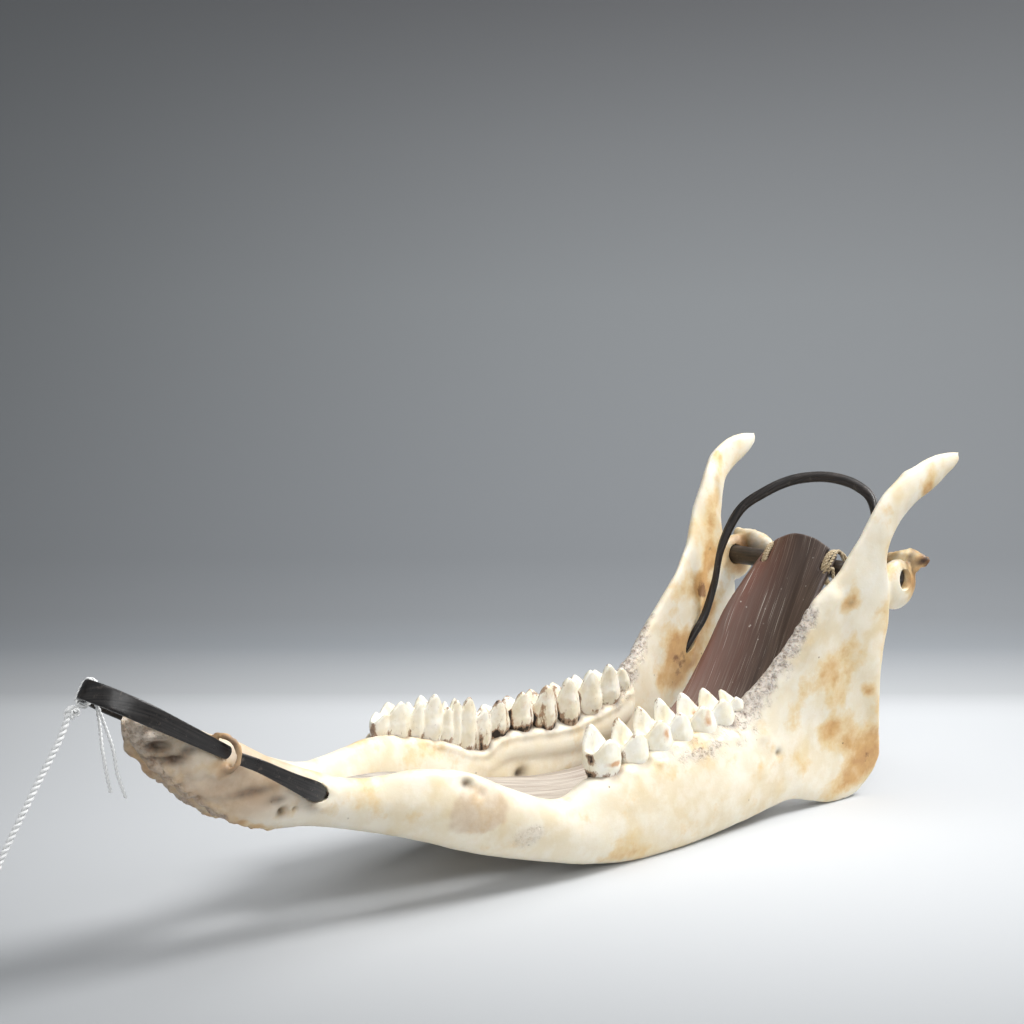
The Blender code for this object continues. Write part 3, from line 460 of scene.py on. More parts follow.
def horn_material(name, deep, light, glossy, matte, along, dusty):
    """Polished horn: dark, with fine streaks along its length and a satin gloss."""
    mat, shader, spot = new_material(name)
    streak = grain(along_uv(spot), 0.45, 4, 0.6, (40, 1, 1)) if along else grain(spot, 1, 4, 0.6, (1, 9, 1))
    dust = ramp(grain(spot, 2.4, 5, 0.75), [(0.58, 0), (0.72, dusty)])
    feed(shader, {
        "Base Color": over(blend(ramp(streak, [(0.35, 0), (0.75, 1)]), deep, light), (dust, "8E8176")),
        "Normal": bump(grain(spot, 6, 3, 0.5), 0.25, bump(streak, 0.07)), "IOR": 1.54,
        "Roughness": ramp(grain(spot, 3, 4, 0.6), [(0.3, glossy), (0.7, matte)]),
    })
    return mat


def scoop_material():
    """Scraped horn plate: brown, redder at one side, fine lengthwise streaks, white dust and a painted
    grey-beige glare towards its front end.
    """
    mat, shader, spot = new_material("scraped_horn")
    uv = along_uv(spot)
    parts = add(spot.id_data, "ShaderNodeSeparateXYZ", {"Vector": uv}).outputs
    streak = grain(uv, 0.55, 5, 0.65, (60, 1, 1))
    broad = grain(uv, 5, 3, 0.5, (12, 1, 1))
    some = ramp(grain(spot, 12, 3, 0.6), [(0.46, 0), (0.6, 1)])
    redder = ramp(between(parts["Y"], -0.02, 0.02), [(0.5, 0), (0.9, 1)])
    # Painted reflection: grey-beige glare towards the front end, mixed in by distance along the plate
    front = ramp(between(parts["X"], 0.19, 0.05), [(0, 0), (0.6, 0.8)])
    colour = over(
        blend(redder, "40322C", "7A4A38"),
        (ramp(broad, [(0.35, 0), (0.7, 0.7)]), "66544A"),
        (ramp(streak, [(0.52, 0), (0.72, 0.6)]), "8E7C70"),
        (ramp(grain(uv, 0.35, 2, 0.5, (110, 1, 1)), [(0.655, 0), (0.7, 0.85)]), "CFC6BC"),
        (front, ramp(streak, [(0.4, "A39A8E"), (0.6, "C9C2B6")])),
        (calc("MULTIPLY", specks(spot, 3.2, [(0.05, 0.8), (0.11, 0)]), some), "C9C2BA"),
    )
    gloss = ramp(broad, [(0.3, 0.36), (0.7, 0.55)])
    feed(shader, {"Base Color": colour, "Normal": bump(streak, 0.12), "Roughness": gloss, "IOR": 1.54})
    return mat


def fibre_material(name, size_mm, detail, rough, stops, depth_mm, gloss, sheen=0):
    """Matte fibres, darker between them and lighter on them."""
    mat, shader, spot = new_material(name)
    fibre = grain(spot, size_mm, detail, rough)
    feed(shader, {"Base Color": ramp(fibre, stops), "Normal": bump(fibre, depth_mm)})
    feed(shader, {"Roughness": gloss, "Sheen Weight": sheen})
    return mat


def new_object(name, data):
    """Object in the scene with the given data."""
    obj = bpy.data.objects.new(name, data)
    bpy.context.scene.collection.objects.link(obj)
    return obj


def link_mesh(name, vertices, faces, mat):
    """Mesh object from points in metres, shaded smooth."""
    mesh = bpy.data.meshes.new(name)
    mesh.from_pydata([tuple(v) for v in vertices], [], faces)
    mesh.materials.append(mat)
    mesh.shade_smooth()
    return new_object(name, mesh)


def from_rings(name, rings, mat, closed=False):
    """Closed mesh through rings of the same count, capped at both ends or joined round, faces outwards."""
    count, layers = len(rings[0]), len(rings)
    faces = []
    for i in range(layers if closed else layers - 1):
        j = (i + 1) % layers
        for k in range(count):
            m = (k + 1) % count
            faces.append((i * count + k, i * count + m, j * count + m, j * count + k))
    if not closed:
        faces.append(tuple(range(count - 1, -1, -1)))
        faces.append(tuple(range((layers - 1) * count, layers * count)))
    obj = link_mesh(name, [v for ring in rings for v in ring], faces, mat)
    bm = bmesh.new()
    bm.from_mesh(obj.data)
    bmesh.ops.recalc_face_normals(bm, faces=bm.faces)
    bm.to_mesh(obj.data)
    bm.free()
    return obj


def made_mesh(obj):
    """New mesh of what an object's modifiers make."""
    return bpy.data.meshes.new_from_object(obj.evaluated_get(bpy.context.evaluated_depsgraph_get()))


def apply_modifiers(obj):
    """Replaces an object's mesh by what its modifiers make of it, all in its own material."""
    mat = obj.data.materials[0]
    mesh = made_mesh(obj)
    obj.modifiers.clear()
    obj.data = mesh
    mesh.materials.clear()
    mesh.materials.append(mat)
    mesh.shade_smooth()


def gather(name, pieces, mat):
    """Joins several meshes into one object and removes them."""
    vertices, faces = [], []
    for piece in pieces:
        start = len(vertices)
        vertices += [v.co.copy() for v in piece.data.vertices]
        faces += [tuple(start + i for i in face.vertices) for face in piece.data.polygons]
        bpy.data.objects.remove(piece)
    return link_mesh(name, vertices, faces, mat)


def fuse(obj, voxel_mm, relax=2):
    """Fuses overlapping closed shells into one skin and softens their joints."""
    step = obj.modifiers.new("fuse", "REMESH")
    step.mode = "VOXEL"
    step.voxel_size = voxel_mm * MM
    soft = obj.modifiers.new("soften", "SMOOTH")
    soft.factor = 0.5
    soft.iterations = relax
    apply_modifiers(obj)


def cut(obj, cutters):
    """Cuts closed shells out of an object and removes them."""
    pile = bpy.data.collections.new("cutters")
    bpy.context.scene.collection.children.link(pile)
    for cutter in cutters:
        bpy.context.scene.collection.objects.unlink(cutter)
        pile.objects.link(cutter)
    step = obj.modifiers.new("cut", "BOOLEAN")
    step.operation = "DIFFERENCE"
    step.solver = "MANIFOLD"
    step.operand_type = "COLLECTION"
    step.collection = pile
    apply_modifiers(obj)
    for cutter in list(pile.objects):
        bpy.data.objects.remove(cutter)
    bpy.data.collections.remove(pile)


def circle(count):
    """Cosine and sine of evenly spaced angles round a circle."""
    angles = [2 * math.pi * k / count for k in range(count)]
    return [(math.cos(a), math.sin(a)) for a in angles]


def ahead_at(path, i):
    """Direction of a path at one of its points."""
    return (path[min(i + 1, len(path) - 1)] - path[max(i - 1, 0)]).normalized()


def beyond(end, before, step):
    """Point a step past the end of a line."""
    return end + (end - before).normalized() * step


def walked(spots):
    """Length of a path up to each of its points."""
    return [0, *itertools.accumulate((b - a).length for a, b in zip(spots, spots[1:]))]


def smooth_values(values, steps):
    """Single numbers on a smooth curve through the given ones."""
    return [row[0] for row in smooth([(value,) for value in values], steps)]


def tube(name, points, radii, mat, sides=16, squash=1, ribs=0, rib_depth=0):
    """Tube along points in millimetres with a radius at each, squashed one way, ribbed if asked."""
    path = [Vector(p) for p in points]
    up = Vector((0.31, 0.12, 0.94))
    rings = []
    for i, centre in enumerate(path):
        ahead = ahead_at(path, i)
        first = (up - ahead * up.dot(ahead)).normalized()
        second = ahead.cross(first)
        r = radii[i] if isinstance(radii, list) else radii
        ring = []
        for k in range(sides):
            a = 2 * math.pi * k / sides
            d = r * (1 - rib_depth * (1 - abs(math.sin(0.5 * ribs * a + 0.02 * i))) ** 2)
            ring.append(place(centre + first * (d * math.cos(a)) + second * (d * squash * math.sin(a))))
        rings.append(ring)
    return from_rings(name, rings, mat)


def strap(name, points, widths, thickness, mat, corner=10):
    """Flat strap with round long edges, its width across the hoop's plane, with its length as a UV map."""
    path = [Vector(p) for p in points]
    way = Vector(HOOP_WIDTH_WAY).normalized()
    outline = []
    for k in range(4 * corner):
        a = 2 * math.pi * (k + 0.5) / (4 * corner)
        c, s = math.cos(a), math.sin(a)
        outline.append((math.copysign(abs(c) ** 0.35, c), math.copysign(abs(s) ** 0.5, s)))
    rings = []
    for i, centre in enumerate(path):
        ahead = ahead_at(path, i)
        broad = (way - ahead * way.dot(ahead)).normalized()
        thin = ahead.cross(broad)
        half, deep = widths[i] / 2, thickness / 2
        rings.append([place(centre + broad * (half * p) + thin * (deep * q)) for p, q in outline])
    obj = from_rings(name, rings, mat)
    lay_uv(obj, path)
    return obj


def set_uv(obj, uvs):
    """UV map from one pair of numbers for each vertex."""
    layer = obj.data.uv_layers.new(name="along")
    for loop in obj.data.loops:
        layer.data[loop.index].uv = uvs[loop.vertex_index]


def nearest_of(line, points):
    """Number of the nearest point of a line, and the point itself, for each of many points."""
    return [(int(((line - p) ** 2).sum(1).argmin()), p) for p in points]


def lay_uv(obj, path):
    """UV map in metres: length along a path of millimetre points, and distance round it."""
    spots = [place(p) for p in path]
    lengths, line = walked(spots), np.array([tuple(s) for s in spots])
    points = np.array([tuple(v.co) for v in obj.data.vertices])
    set_uv(obj, [(lengths[n], float(p[2] - line[n][2] + p[1] * 0.3)) for n, p in nearest_of(line, points)])


def lathe_y(name, centre, stations, mat, sides=32):
    """Round body along Y, from its places and radii."""
    x, z = centre
    rings = [[place((x + r * c, y, z + r * s)) for c, s in circle(sides)] for y, r in stations]
    return from_rings(name, rings, mat)


def ellipsoid(name, centre, radii, mat, turns=32, levels=20):
    """Closed egg shape with small flat poles along Y."""
    (x, y, z), (long, wide, high) = centre, radii
    rings = []
    for j in range(levels):
        a = math.pi * (j + 0.2) / (levels - 0.6)
        out, at = math.sin(a), y - wide * math.cos(a)
        rings.append([place((x + long * out * c, at, z + high * out * s)) for c, s in circle(turns)])
    return from_rings(name, rings, mat)


def side_ring(lower, upper, thick, side, count):
    """Ring of points round the bone between its lower and its upper edge."""
    low, high = Vector(lower), Vector(upper)
    along = (high - low).normalized()
    across = Vector((0, 1, 0))
    across = (across - along * across.dot(along)).normalized()
    middle, reach = (low + high) / 2, (high - low).length / 2
    squareness = 0.8 - 0.18 * min(max((reach - 11) / 6, 0), 1)
    ring = []
    for u, v in circle(count):
        half = thick[1] + (thick[0] - thick[1]) * max(-u, 0) ** 2 + (thick[2] - thick[1]) * max(u, 0) ** 2
        point = middle + along * (u * reach) + across * (math.copysign(abs(v) ** squareness, v) * half)
        point.x += CHIN_SWEEP * (point.y - low.y) * max(0, 1 - low.x / CHIN_SWEEP_END)
        point.y = max(point.y, GAP / 2)
        ring.append(place((point.x, point.y * side, max(point.z, FLOOR_Z))))
    return ring


def on_side(points, side):
    """Points with their distance from the middle plane put on one side of it."""
    return [(x, side * y, z) for x, y, z in points]


def edges(side):
    """Edge rows of one half, the right one raised under its premolars and toed in at its ramus."""
    low, high = list(LOWER_EDGE), list(UPPER_EDGE)
    if side > 0:
        for row, point in PREMOLAR_RISE.items():
            high[row] = point
        for row, shifts in RIGHT_RAMUS_SHIFT.items():
            for line, shift in zip((low, high), shifts):
                x, y, z = line[row]
                line[row] = (x + shift, y - INWARD_SHARE * shift, z)
    return low, high


def lobes_of(side):
    """Tooth lobes of one half: molars on the left one, premolars and molars on the right one."""
    return RIGHT_LOBES if side > 0 else LEFT_LOBES


def front_hoop_line(fine=16):
    """Centre line of the front hoop, from the left foot round the bend to the right foot."""
    bend_x, bend_long = FRONT_HOOP_BEND
    foot_x, foot_z = FRONT_HOOP_FOOT
    left = [(foot_x, -FRONT_HOOP_SIDE), (17, -FRONT_HOOP_SIDE), (10.5, -FRONT_HOOP_SIDE)]
    bend = []
    for i in range(fine + 1):
        a = math.pi * i / fine
        bend.append((bend_x - bend_long * math.sin(a), -FRONT_HOOP_SIDE * math.cos(a)))
    flat = left + bend + [(x, -y) for x, y in reversed(left)]
    return [(x, y, foot_z + (foot_x - x) * FRONT_HOOP_RISE) for x, y in flat]


def unit(values):
    """Values kept between none and one."""
    return np.clip(values, 0, 1)


def gauss(points, centre, radii):
    """Soft spot: one at its centre, falling off over a radius along each axis."""
    d = ((points - np.array(centre)) / np.array(radii)) ** 2
    return np.exp(-d.sum(1))


def spots_at(flat, rows, depth=STAIN_DEPTH):
    """Sum of soft spots given as place, reach and strength."""
    total = np.zeros(len(flat))
    for x, y, z, wide, high, strength in rows:
        total += strength * gauss(flat, (x, y, z), (wide, depth, high))
    return total


def rough_field(points, size_mm, seed):
    """Noise between minus one and one at each point, with lumps of a size in millimetres."""
    shift = Vector((seed * 13.7, seed * 5.1, seed * 9.3))
    return np.array([noise.noise(Vector(p) / size_mm + shift) for p in points])


def distance_to_line(points, line):
    """Distance of each point from a polyline."""
    best = np.full(len(points), 1e9)
    for a, b in zip(line, line[1:]):
        a, b = np.array(a, float), np.array(b, float)
        t = unit(((points - a) @ (b - a)) / ((b - a) @ (b - a)))
        best = np.minimum(best, np.linalg.norm(points - (a + t[:, None] * (b - a)), axis=1))
    return best


def soft_line(points, line, width):
    """One along a polyline, falling off over a width."""
    return np.exp(-((distance_to_line(points, line) / width) ** 2))


def off_lobe(flat, row, more_long, more_wide):
    """Distance from the middle of a tooth lobe, one at its outline grown by a little."""
    long, wide = row[4] + more_long, row[5] + more_wide
    return np.sqrt(((flat[:, 0] - row[0]) / long) ** 2 + ((flat[:, 1] - TOOTH_CENTRE_Y) / wide) ** 2)


def set_values(obj, name, values):
    """Stores one number for each vertex."""
    layer = obj.data.attributes.new(name, "FLOAT", "POINT")
    layer.data.foreach_set("value", unit(values).astype(np.float32))


def millimetres(obj):
    """Vertices in millimetres from the chin, and their normals."""
    def read(rows, name):
        values = np.empty(len(rows) * 3, np.float32)
        rows.foreach_get(name, values)
        return values.reshape(-1, 3).astype(float)

    return read(obj.data.vertices, "co") / MM + ORIGIN, read(obj.data.vertex_normals, "vector")


def move_to(obj, points):
    """Puts the vertices at points in millimetres from the chin."""
    obj.data.vertices.foreach_set("co", ((points - ORIGIN) * MM).astype(np.float32).ravel())
    obj.data.update()


def bone_relief(obj, side):
    """Presses the small forms of real bone into one half: hollows, sockets, pits and a ragged chin."""
    points, normals = millimetres(obj)
    flat = points * np.array((1, side, 1))
    outer, inner = unit(normals[:, 1] * side), unit(-normals[:, 1] * side)

    def rough(size_mm, seed):
        return rough_field(points, size_mm, seed)

    rise = 0.45 * rough(22, 1 + side) + 0.16 * rough(6, 4 + side)
    for strength, centre, radii, where in (
        (-1.6, (251, 38, 54), (9, 30, 18), outer), (-1.3, (243, 33, 27), (13, 30, 11), outer),
        (-1, (252, 33, 24), (12, 30, 16), inner), (0.7, (90, 18, 33), (13, 30, 8), outer),
    ):
        rise += strength * gauss(flat, centre, radii) * where
    rise += 1.5 * soft_line(flat, RIB_LINE, 3) * outer + 0.9 * soft_line(flat, INNER_RIB_LINE, 2.4) * inner
    rise += (0.5 * soft_line(flat, SLOT_LIPS_LINE, 1.1) - 2.4 * soft_line(flat, GROOVE_LINE, 2.2)) * outer
    porous = unit(1.35 - distance_to_line(flat, FRONT_STRIP_LINE) / 6)
    chin = unit((24 - points[:, 0]) / 14)
    rise += porous * 0.4 * rough(1.9, 7) + chin * (0.9 * rough(4, 9) + 0.55 * rough(1.8, 11) - 0.1)
    ragged = distance_to_line(flat, RAGGED_LINE)
    rise += unit(1.2 - ragged / 4) * (1.1 * rough(2.6, 15) + 0.4 * rough(1.2, 16))
    rise += gauss(flat, (288, 36, 80), (8, 14, 8)) * (0.9 * rough(3.4, 17) + 0.5 * rough(1.5, 19))
    rise += gauss(flat, HOLDER_MIDDLE, (5, 6, 6.5)) * (0.7 * rough(2.6, 27) + 0.3 * rough(1.2, 29))
    rim = 0.5 + rough(2.4, 13)
    for row in lobes_of(side):
        d = off_lobe(flat, row, 1.2, 1.4)
        near_top = unit(1 - np.abs(flat[:, 2] - row[1]) / 6) * unit(normals[:, 2] * 2)
        rise += near_top * (0.45 * np.exp(-((d - 1.3) / 0.16) ** 2) * rim - 1.3 * unit(1.15 - d))
    rise -= spots_at(flat, LEFT_PITS if side < 0 else RIGHT_PITS, PIT_DEPTH)
    keep = unit((flat[:, 1] - 1.2) / 1.5) * unit((points[:, 2] - FLOOR_Z) / 3)
    moved = points + normals * (rise * keep)[:, None]
    if side < 0:
        shelf = gauss(flat, (203, 31.5, 41.5), (15, 4.6, 7)) * unit(normals[:, 2] * 2 + 0.6)
        moved[:, 2] -= 4.6 * shelf
    moved[:, 2] = np.maximum(moved[:, 2], FLOOR_Z)
    move_to(obj, moved)


def bone_stains(obj, side):
    """Works out where the bone is tan, pink, porous or dirty, and where shade is painted along the groove
    under the tail.
    """
    points, normals = millimetres(obj)
    flat = points * np.array((1, side, 1))
    outer, inner = unit(normals[:, 1] * side * 2), unit(-normals[:, 1] * side * 2)
    wander = rough_field(points, 9, 21)
    fine = rough_field(points, 2.6, 23)
    chin = unit((17 - points[:, 0]) / 14)
    holder = distance_to_line(flat, STRAP_HOLDER)

    tan = spots_at(flat, LEFT_TAN if side < 0 else RIGHT_TAN) * (0.35 + 0.65 * (outer if side < 0 else inner))
    tan += 0.5 * soft_line(flat, REAR_EDGE_LINE, 4) * (0.5 + 0.9 * wander)
    tan += 0.4 * gauss(flat, (288, 38, 80), (7, 14, 6))
    if side > 0:
        tan += 0.8 * soft_line(flat, INNER_RIB_LINE[:3], 2.4) * inner
    under_edge = distance_to_line(flat, LOWER_EDGE[1:5] + [(36, 7, 33.6)])
    tan += 0.85 * unit(1.2 - under_edge / 4) * (0.8 + 0.8 * fine) + 0.7 * unit(1.8 - holder / 1.4)
    set_values(obj, "tan", unit(tan * (1 + 0.4 * wander + 0.15 * fine)))

    pink = np.clip(0.5 * chin + 0.9 * gauss(flat, (28, 12, 48), (21, 30, 12)), 0, 0.85)
    pink = np.maximum(pink, 0.75 * gauss(flat, HOLDER_MIDDLE, (4.5, 8, 6)) * (1 + 0.6 * fine))
    reach = 6.4 - 3.6 * unit((flat[:, 0] - 212) / 24)
    under_chin = distance_to_line(flat, LOWER_EDGE[:1] + LOWER_EDGE[2:5])
    layers = [
        (1.6 - distance_to_line(flat, POROUS_LINE) / reach + 0.6 * fine, 0.9),
        (chin * (0.3 + wander * 0.9), 0.6), (0.7 - under_chin / 4.2 + 0.4 * fine, 0.5),
    ]
    if side < 0:
        disc = np.linalg.norm((flat[:, (0, 2)] - np.array((98.5, 29.5))) / np.array((9.5, 6.5)), axis=1)
        pink = np.maximum(pink, np.clip((1.1 - disc - 0.16 * fine) * 3, 0, 0.5) * outer)
        grey = gauss(flat, (114, 26, 19), (7, 20, 3.5)) * (1 + wander)
        layers.append((np.clip(grey * 1.1 - 0.4, 0, 0.3) * outer, 0.3))
        layers.append((gauss(flat, (187, 31, 31.5), (10, 9, 2.4)) * (0.8 + 1.2 * fine), 0.7))
    set_values(obj, "pink", pink)
    set_values(obj, "porous", np.max([np.clip(values, 0, most) for values, most in layers], axis=0))

    dirt = [
        spots_at(flat, LEFT_DIRT_AND_SHADE if side < 0 else RIGHT_DIRT, PIT_DEPTH),
        0.8 * soft_line(flat, [(4.6, 3, 58.6), (8.9, 8, 57.4)], 1.1),
        gauss(flat, (287, 38, 79), (9, 14, 7)) * (0.6 + 1.1 * wander + 0.9 * fine),
        # Painted shade along the groove under the tail
        (0.72 + 0.4 * fine) * soft_line(flat, GROOVE_SHADE_LINE, 2) * outer,
        unit(1.7 - holder / 1.3) * (0.3 + 0.9 * fine),
        chin * np.clip(0.9 * rough_field(points, 2.4, 25) + 0.3 * wander, 0, 0.8),
    ]
    for row in lobes_of(side):
        close = np.clip(1.16 - off_lobe(flat, row, 0.6, 0.8), 0, 0.3) / 0.3
        dirt.append(close * unit(1 - np.abs(flat[:, 2] - row[1]) / 5) * (0.8 + 0.5 * fine))
    set_values(obj, "dirt", np.max(dirt, axis=0))


def socket_ridge(lobes, side, mat):
    """Rounded ridge of bone that holds the roots of a row of cheek teeth."""
    points = [(row[0], side * TOOTH_CENTRE_Y, row[1] - SOCKET_DEPTH) for row in lobes]
    first, last = points[0], points[-1]
    points = [(first[0] - 4.6, first[1], first[2] - 1.4)] + points + [(last[0] + 4, last[1], last[2] - 0.4)]
    radii = smooth_values([SOCKET_RADIUS * 0.6] + [SOCKET_RADIUS] * len(lobes) + [SOCKET_RADIUS * 0.6], 4)
    path = smooth(points, 4)
    under = [(x, y, z - 3.4) for x, y, z in path]
    tall = [r * 1.95 for r in radii]
    return [
        tube("socket ridge", path, radii, mat, squash=SOCKET_SPREAD),
        tube("ridge root", under, tall, mat, sides=32, squash=SOCKET_SPREAD / 1.9),
    ]


def make_bone(name, side, mat, voxel):
    """One half of the jaw as bone alone, with its condyle and strap holder, drilled for the fittings."""
    low, high = edges(side)
    rows = zip(smooth(low, 8), smooth(high, 8), smooth(HALF_THICKNESS, 8))
    x, y, z = NECK_CENTRES[side]
    along, inward = CONDYLE_SHIFT[side]
    condyle = smooth([(p + along, side * (q - inward), r) for p, q, r in CONDYLE], 4)
    half = gather(name, [
        from_rings("body", [side_ring(a, b, t, side, 48) for a, b, t in rows], mat),
        ellipsoid("neck", (x, side * y, z), (10.4, 3.6, 8.4), mat),
        tube("condyle", condyle, smooth_values(CONDYLE_RADII, 4), mat),
        tube("strap holder", smooth(on_side(STRAP_HOLDER, side), 4), 1.05, mat),
        *socket_ridge(lobes_of(side), side, mat),
    ], mat)
    fuse(half, voxel, 5)
    bone_relief(half, side)
    cut(half, fitting_cutters(side, mat))
    bone_stains(half, side)
    return half


def tail_shape(side):
    """Centre line and widths of one tail of the front hoop, with a rounded rear end."""
    path = [Vector(p) for p in on_side(smooth(smooth(TAIL_POINTS, 2), 3), side)]
    widths = smooth_values(TAIL_WIDTHS, 3)
    for i, point in enumerate(path):
        left = min(max((point - path[-1]).length - 2.6, 0) / 6.5, 1)
        widths[i] = min(widths[i], 0.8 + 4.9 * math.sqrt(1 - (1 - left) ** 2))
    return path, widths


def fitting_cutters(side, mat):
    """Slots for the hoops, the bar's hole and a small peg hole, each wider than what it holds."""
    line = front_hoop_line()
    line = line if side < 0 else list(reversed(line))
    foot = [Vector(p) for p in line[:5]]
    foot.insert(0, beyond(foot[0], foot[1], 1))
    foot_widths = [w + 2 * GAP for w in [FRONT_HOOP_FOOT_WIDTH] + front_hoop_widths()[:5]]
    tail, tail_widths = tail_shape(side)
    before, after = beyond(tail[0], tail[1], 0.6), beyond(tail[-1], tail[-2], 0.8)
    tail_widths = [w + 2 * GAP for w in [tail_widths[0], *tail_widths, tail_widths[-1]]]
    rear = [Vector(p) for p in (REAR_HOOP_RIGHT[:5] if side > 0 else REAR_HOOP_LEFT[:-4:-1])]
    rear = smooth([beyond(rear[0], rear[1], 0.8), *rear], 3)
    bar_end = BAR_ENDS[0] if side < 0 else BAR_ENDS[1]
    bar_hole = [(bar_end + side * d, BAR_RADIUS + GAP) for d in (-8.6, 5)]
    return [
        strap("foot slot", foot, foot_widths, FRONT_HOOP_THICKNESS + 2 * GAP, mat),
        strap("tail slot", [before] + tail + [after], tail_widths, TAIL_THICKNESS + 2 * GAP + 0.3, mat),
        lathe_y("bar hole", BAR_AXIS, bar_hole, mat),
        lathe_y("peg hole", PEG_HOLE, [(side * 10, 0.9), (side * 18, 0.9)], mat, 16),
        tube("rear slot", rear, [1.5 + 0.07 * i for i in range(len(rear))], mat),
    ]


def hoop_width(share):
    """Width of the front hoop at a share of the way from its foot to its full width."""
    return FRONT_HOOP_FOOT_WIDTH + (FRONT_HOOP_WIDTH - FRONT_HOOP_FOOT_WIDTH) * share


def front_hoop_widths():
    """Widths of the front hoop along its centre line, narrow at both feet."""
    grown = [hoop_width(share) for share in (0, 0.35, 0.7)]
    count = len(front_hoop_line())
    return grown + [FRONT_HOOP_WIDTH] * (count - 6) + grown[::-1]


def tooth_lobe(row, side, mat, turns=56):
    """One lobe of a cheek tooth: leaning ribbed column, sharp inner cusp, lower outer one and worn hollow."""
    x, neck, inner, outer, long, wide, lean = row
    reach = outer - neck
    corner = neck + reach * 0.62

    def ring(fat_x, fat_y, height):
        made = []
        for c, s in circle(turns):
            z = height(c, s)
            shift = -lean * max(z - neck, 0) / (inner - neck)
            rib = 0.12 * math.exp(-((c / 0.3) ** 2)) + 0.05 * math.exp(-(((abs(c) - 0.86) / 0.12) ** 2))
            bulge = 1 + (rib if s < 0 else 0.1 * math.exp(-((c / 0.45) ** 2)) - 0.04)
            made.append(place((
                x + shift + long * fat_x * math.copysign(abs(c) ** 0.85, c),
                side * (TOOTH_CENTRE_Y + wide * fat_y * bulge * math.copysign(abs(s) ** 0.75, s)),
                z,
            )))
        return made

    def crest(drop, sharp):
        def height(c, s):
            top, power = (inner, sharp + 0.3) if s < 0 else (outer, sharp + 0.15)
            return corner - drop + (top - corner) * (1 - abs(c) ** power) * min(1, abs(s) * 1.6)
        return height

    def at(level):
        return lambda c, s: level

    rings = [
        ring(0.6, 0.7, at(neck - 6)), ring(0.84, 0.88, at(neck - 1)),
        ring(0.92, 0.95, at(neck + reach * 0.06)),
        ring(0.98, 1, at(neck + reach * 0.18)), ring(1, 1.02, at(neck + reach * 0.34)),
        ring(1, 1, at(neck + reach * 0.42)), ring(0.99, 0.98, at(neck + reach * 0.5)),
        ring(0.98, 0.93, crest(reach * 0.07, 1.2)), ring(0.93, 0.84, crest(0.5, 1.1)),
        ring(0.87, 0.77, crest(0, 1)), ring(0.78, 0.62, crest(0.3, 1)), ring(0.66, 0.46, crest(1, 1)),
        ring(0.5, 0.28, crest(1.8, 1)),
        ring(0.34, 0.14, at(corner - 0.4)), ring(0.14, 0.05, at(corner - 0.1)),
    ]
    return from_rings("lobe", rings, mat)


def make_teeth(name, side, mat, voxel):
    """All cheek teeth of one half, each of two or three lobes grown together, stained in their grooves."""
    teeth = gather(name, [tooth_lobe(row, side, mat) for row in lobes_of(side)], mat)
    fuse(teeth, voxel, 1)
    points, normals = millimetres(teeth)
    rise = 0.16 * rough_field(points, 3.2, 31) + 0.07 * rough_field(points, 1.1, 33)
    move_to(teeth, points + normals * rise[:, None])
    points, normals = millimetres(teeth)
    flat = points * np.array((1, side, 1))
    rows = np.array(lobes_of(side))
    height = np.clip(flat[:, 2][:, None] - rows[:, 1], 0, 30)
    lean = rows[:, 6] * height / (rows[:, 2] - rows[:, 1])
    off = np.abs(flat[:, 0][:, None] + lean - rows[:, 0]) / rows[:, 4]
    nearest = off.argmin(1)
    off = off.min(1)
    height = flat[:, 2] - rows[nearest, 1]
    top = unit(normals[:, 2] * 1.6) * unit((height - 7) / 3)
    gap = unit((off - 0.78) / 0.2)
    base = unit(1 - (height - 0.2) / 1.6)
    warm = np.zeros(len(points))
    if side < 0:
        stain = 0.5 * gap + 0.3 * top + 0.3 * base
        for x, z, wide, high, strength in LEFT_TOOTH_BANDS:
            warm += strength * gauss(flat, (x, 24, z), (wide, 40, high))
    else:
        stain = 0.46 * gap + 0.3 * top + 0.34 * base
        molars = unit((flat[:, 0] - 134) / 8) * unit((196 - flat[:, 0]) / 16)
        cleft = np.exp(-(((off - 0.45) / 0.16) ** 2))
        stain += molars * (0.2 + 0.3 * gap + 0.26 * cleft) * unit(1.2 - height / 14)
        warm += 0.2 + 0.26 * molars + 0.25 * gap
    stain *= 1 + 0.5 * rough_field(points, 3, 35)
    set_values(teeth, "stain", stain)
    set_values(teeth, "neck", warm)
    return teeth


def make_front_hoop(mat):
    """Flat dark strap bent round the chin, broadest at its bend, with rounded feet."""
    line = [Vector(p) for p in smooth(front_hoop_line(), 4)]
    way = walked(line)
    widths = [hoop_width(min(1, min(w, way[-1] - w) / 27)) for w in way]
    ends = []
    for here, following in ((line[0], line[1]), (line[-1], line[-2])):
        ends.append([beyond(here, following, step) for step in (0.9, 0.8, 0.5)])
    tip = [1.2, 2.2, 3.1]
    path, widths = ends[0] + line + ends[1][::-1], tip + widths + tip[::-1]
    return strap("front_hoop_strap", path, widths, FRONT_HOOP_THICKNESS, mat)


def make_rear_hoop(mat):
    """Dark rod of long fibres bent over from one half to the other, drawn out thin at both ends."""
    path = smooth(REAR_HOOP_RIGHT + REAR_HOOP_LEFT, 8)
    last = len(path) - 1
    radii = [0.9 + 1 * min(1, 2.6 * min(i, last - i) / last) ** 0.7 for i in range(last + 1)]
    obj = tube("rear_hoop_rod", path, radii, mat, sides=48, squash=0.72, ribs=5, rib_depth=0.16)
    lay_uv(obj, path)
    return obj


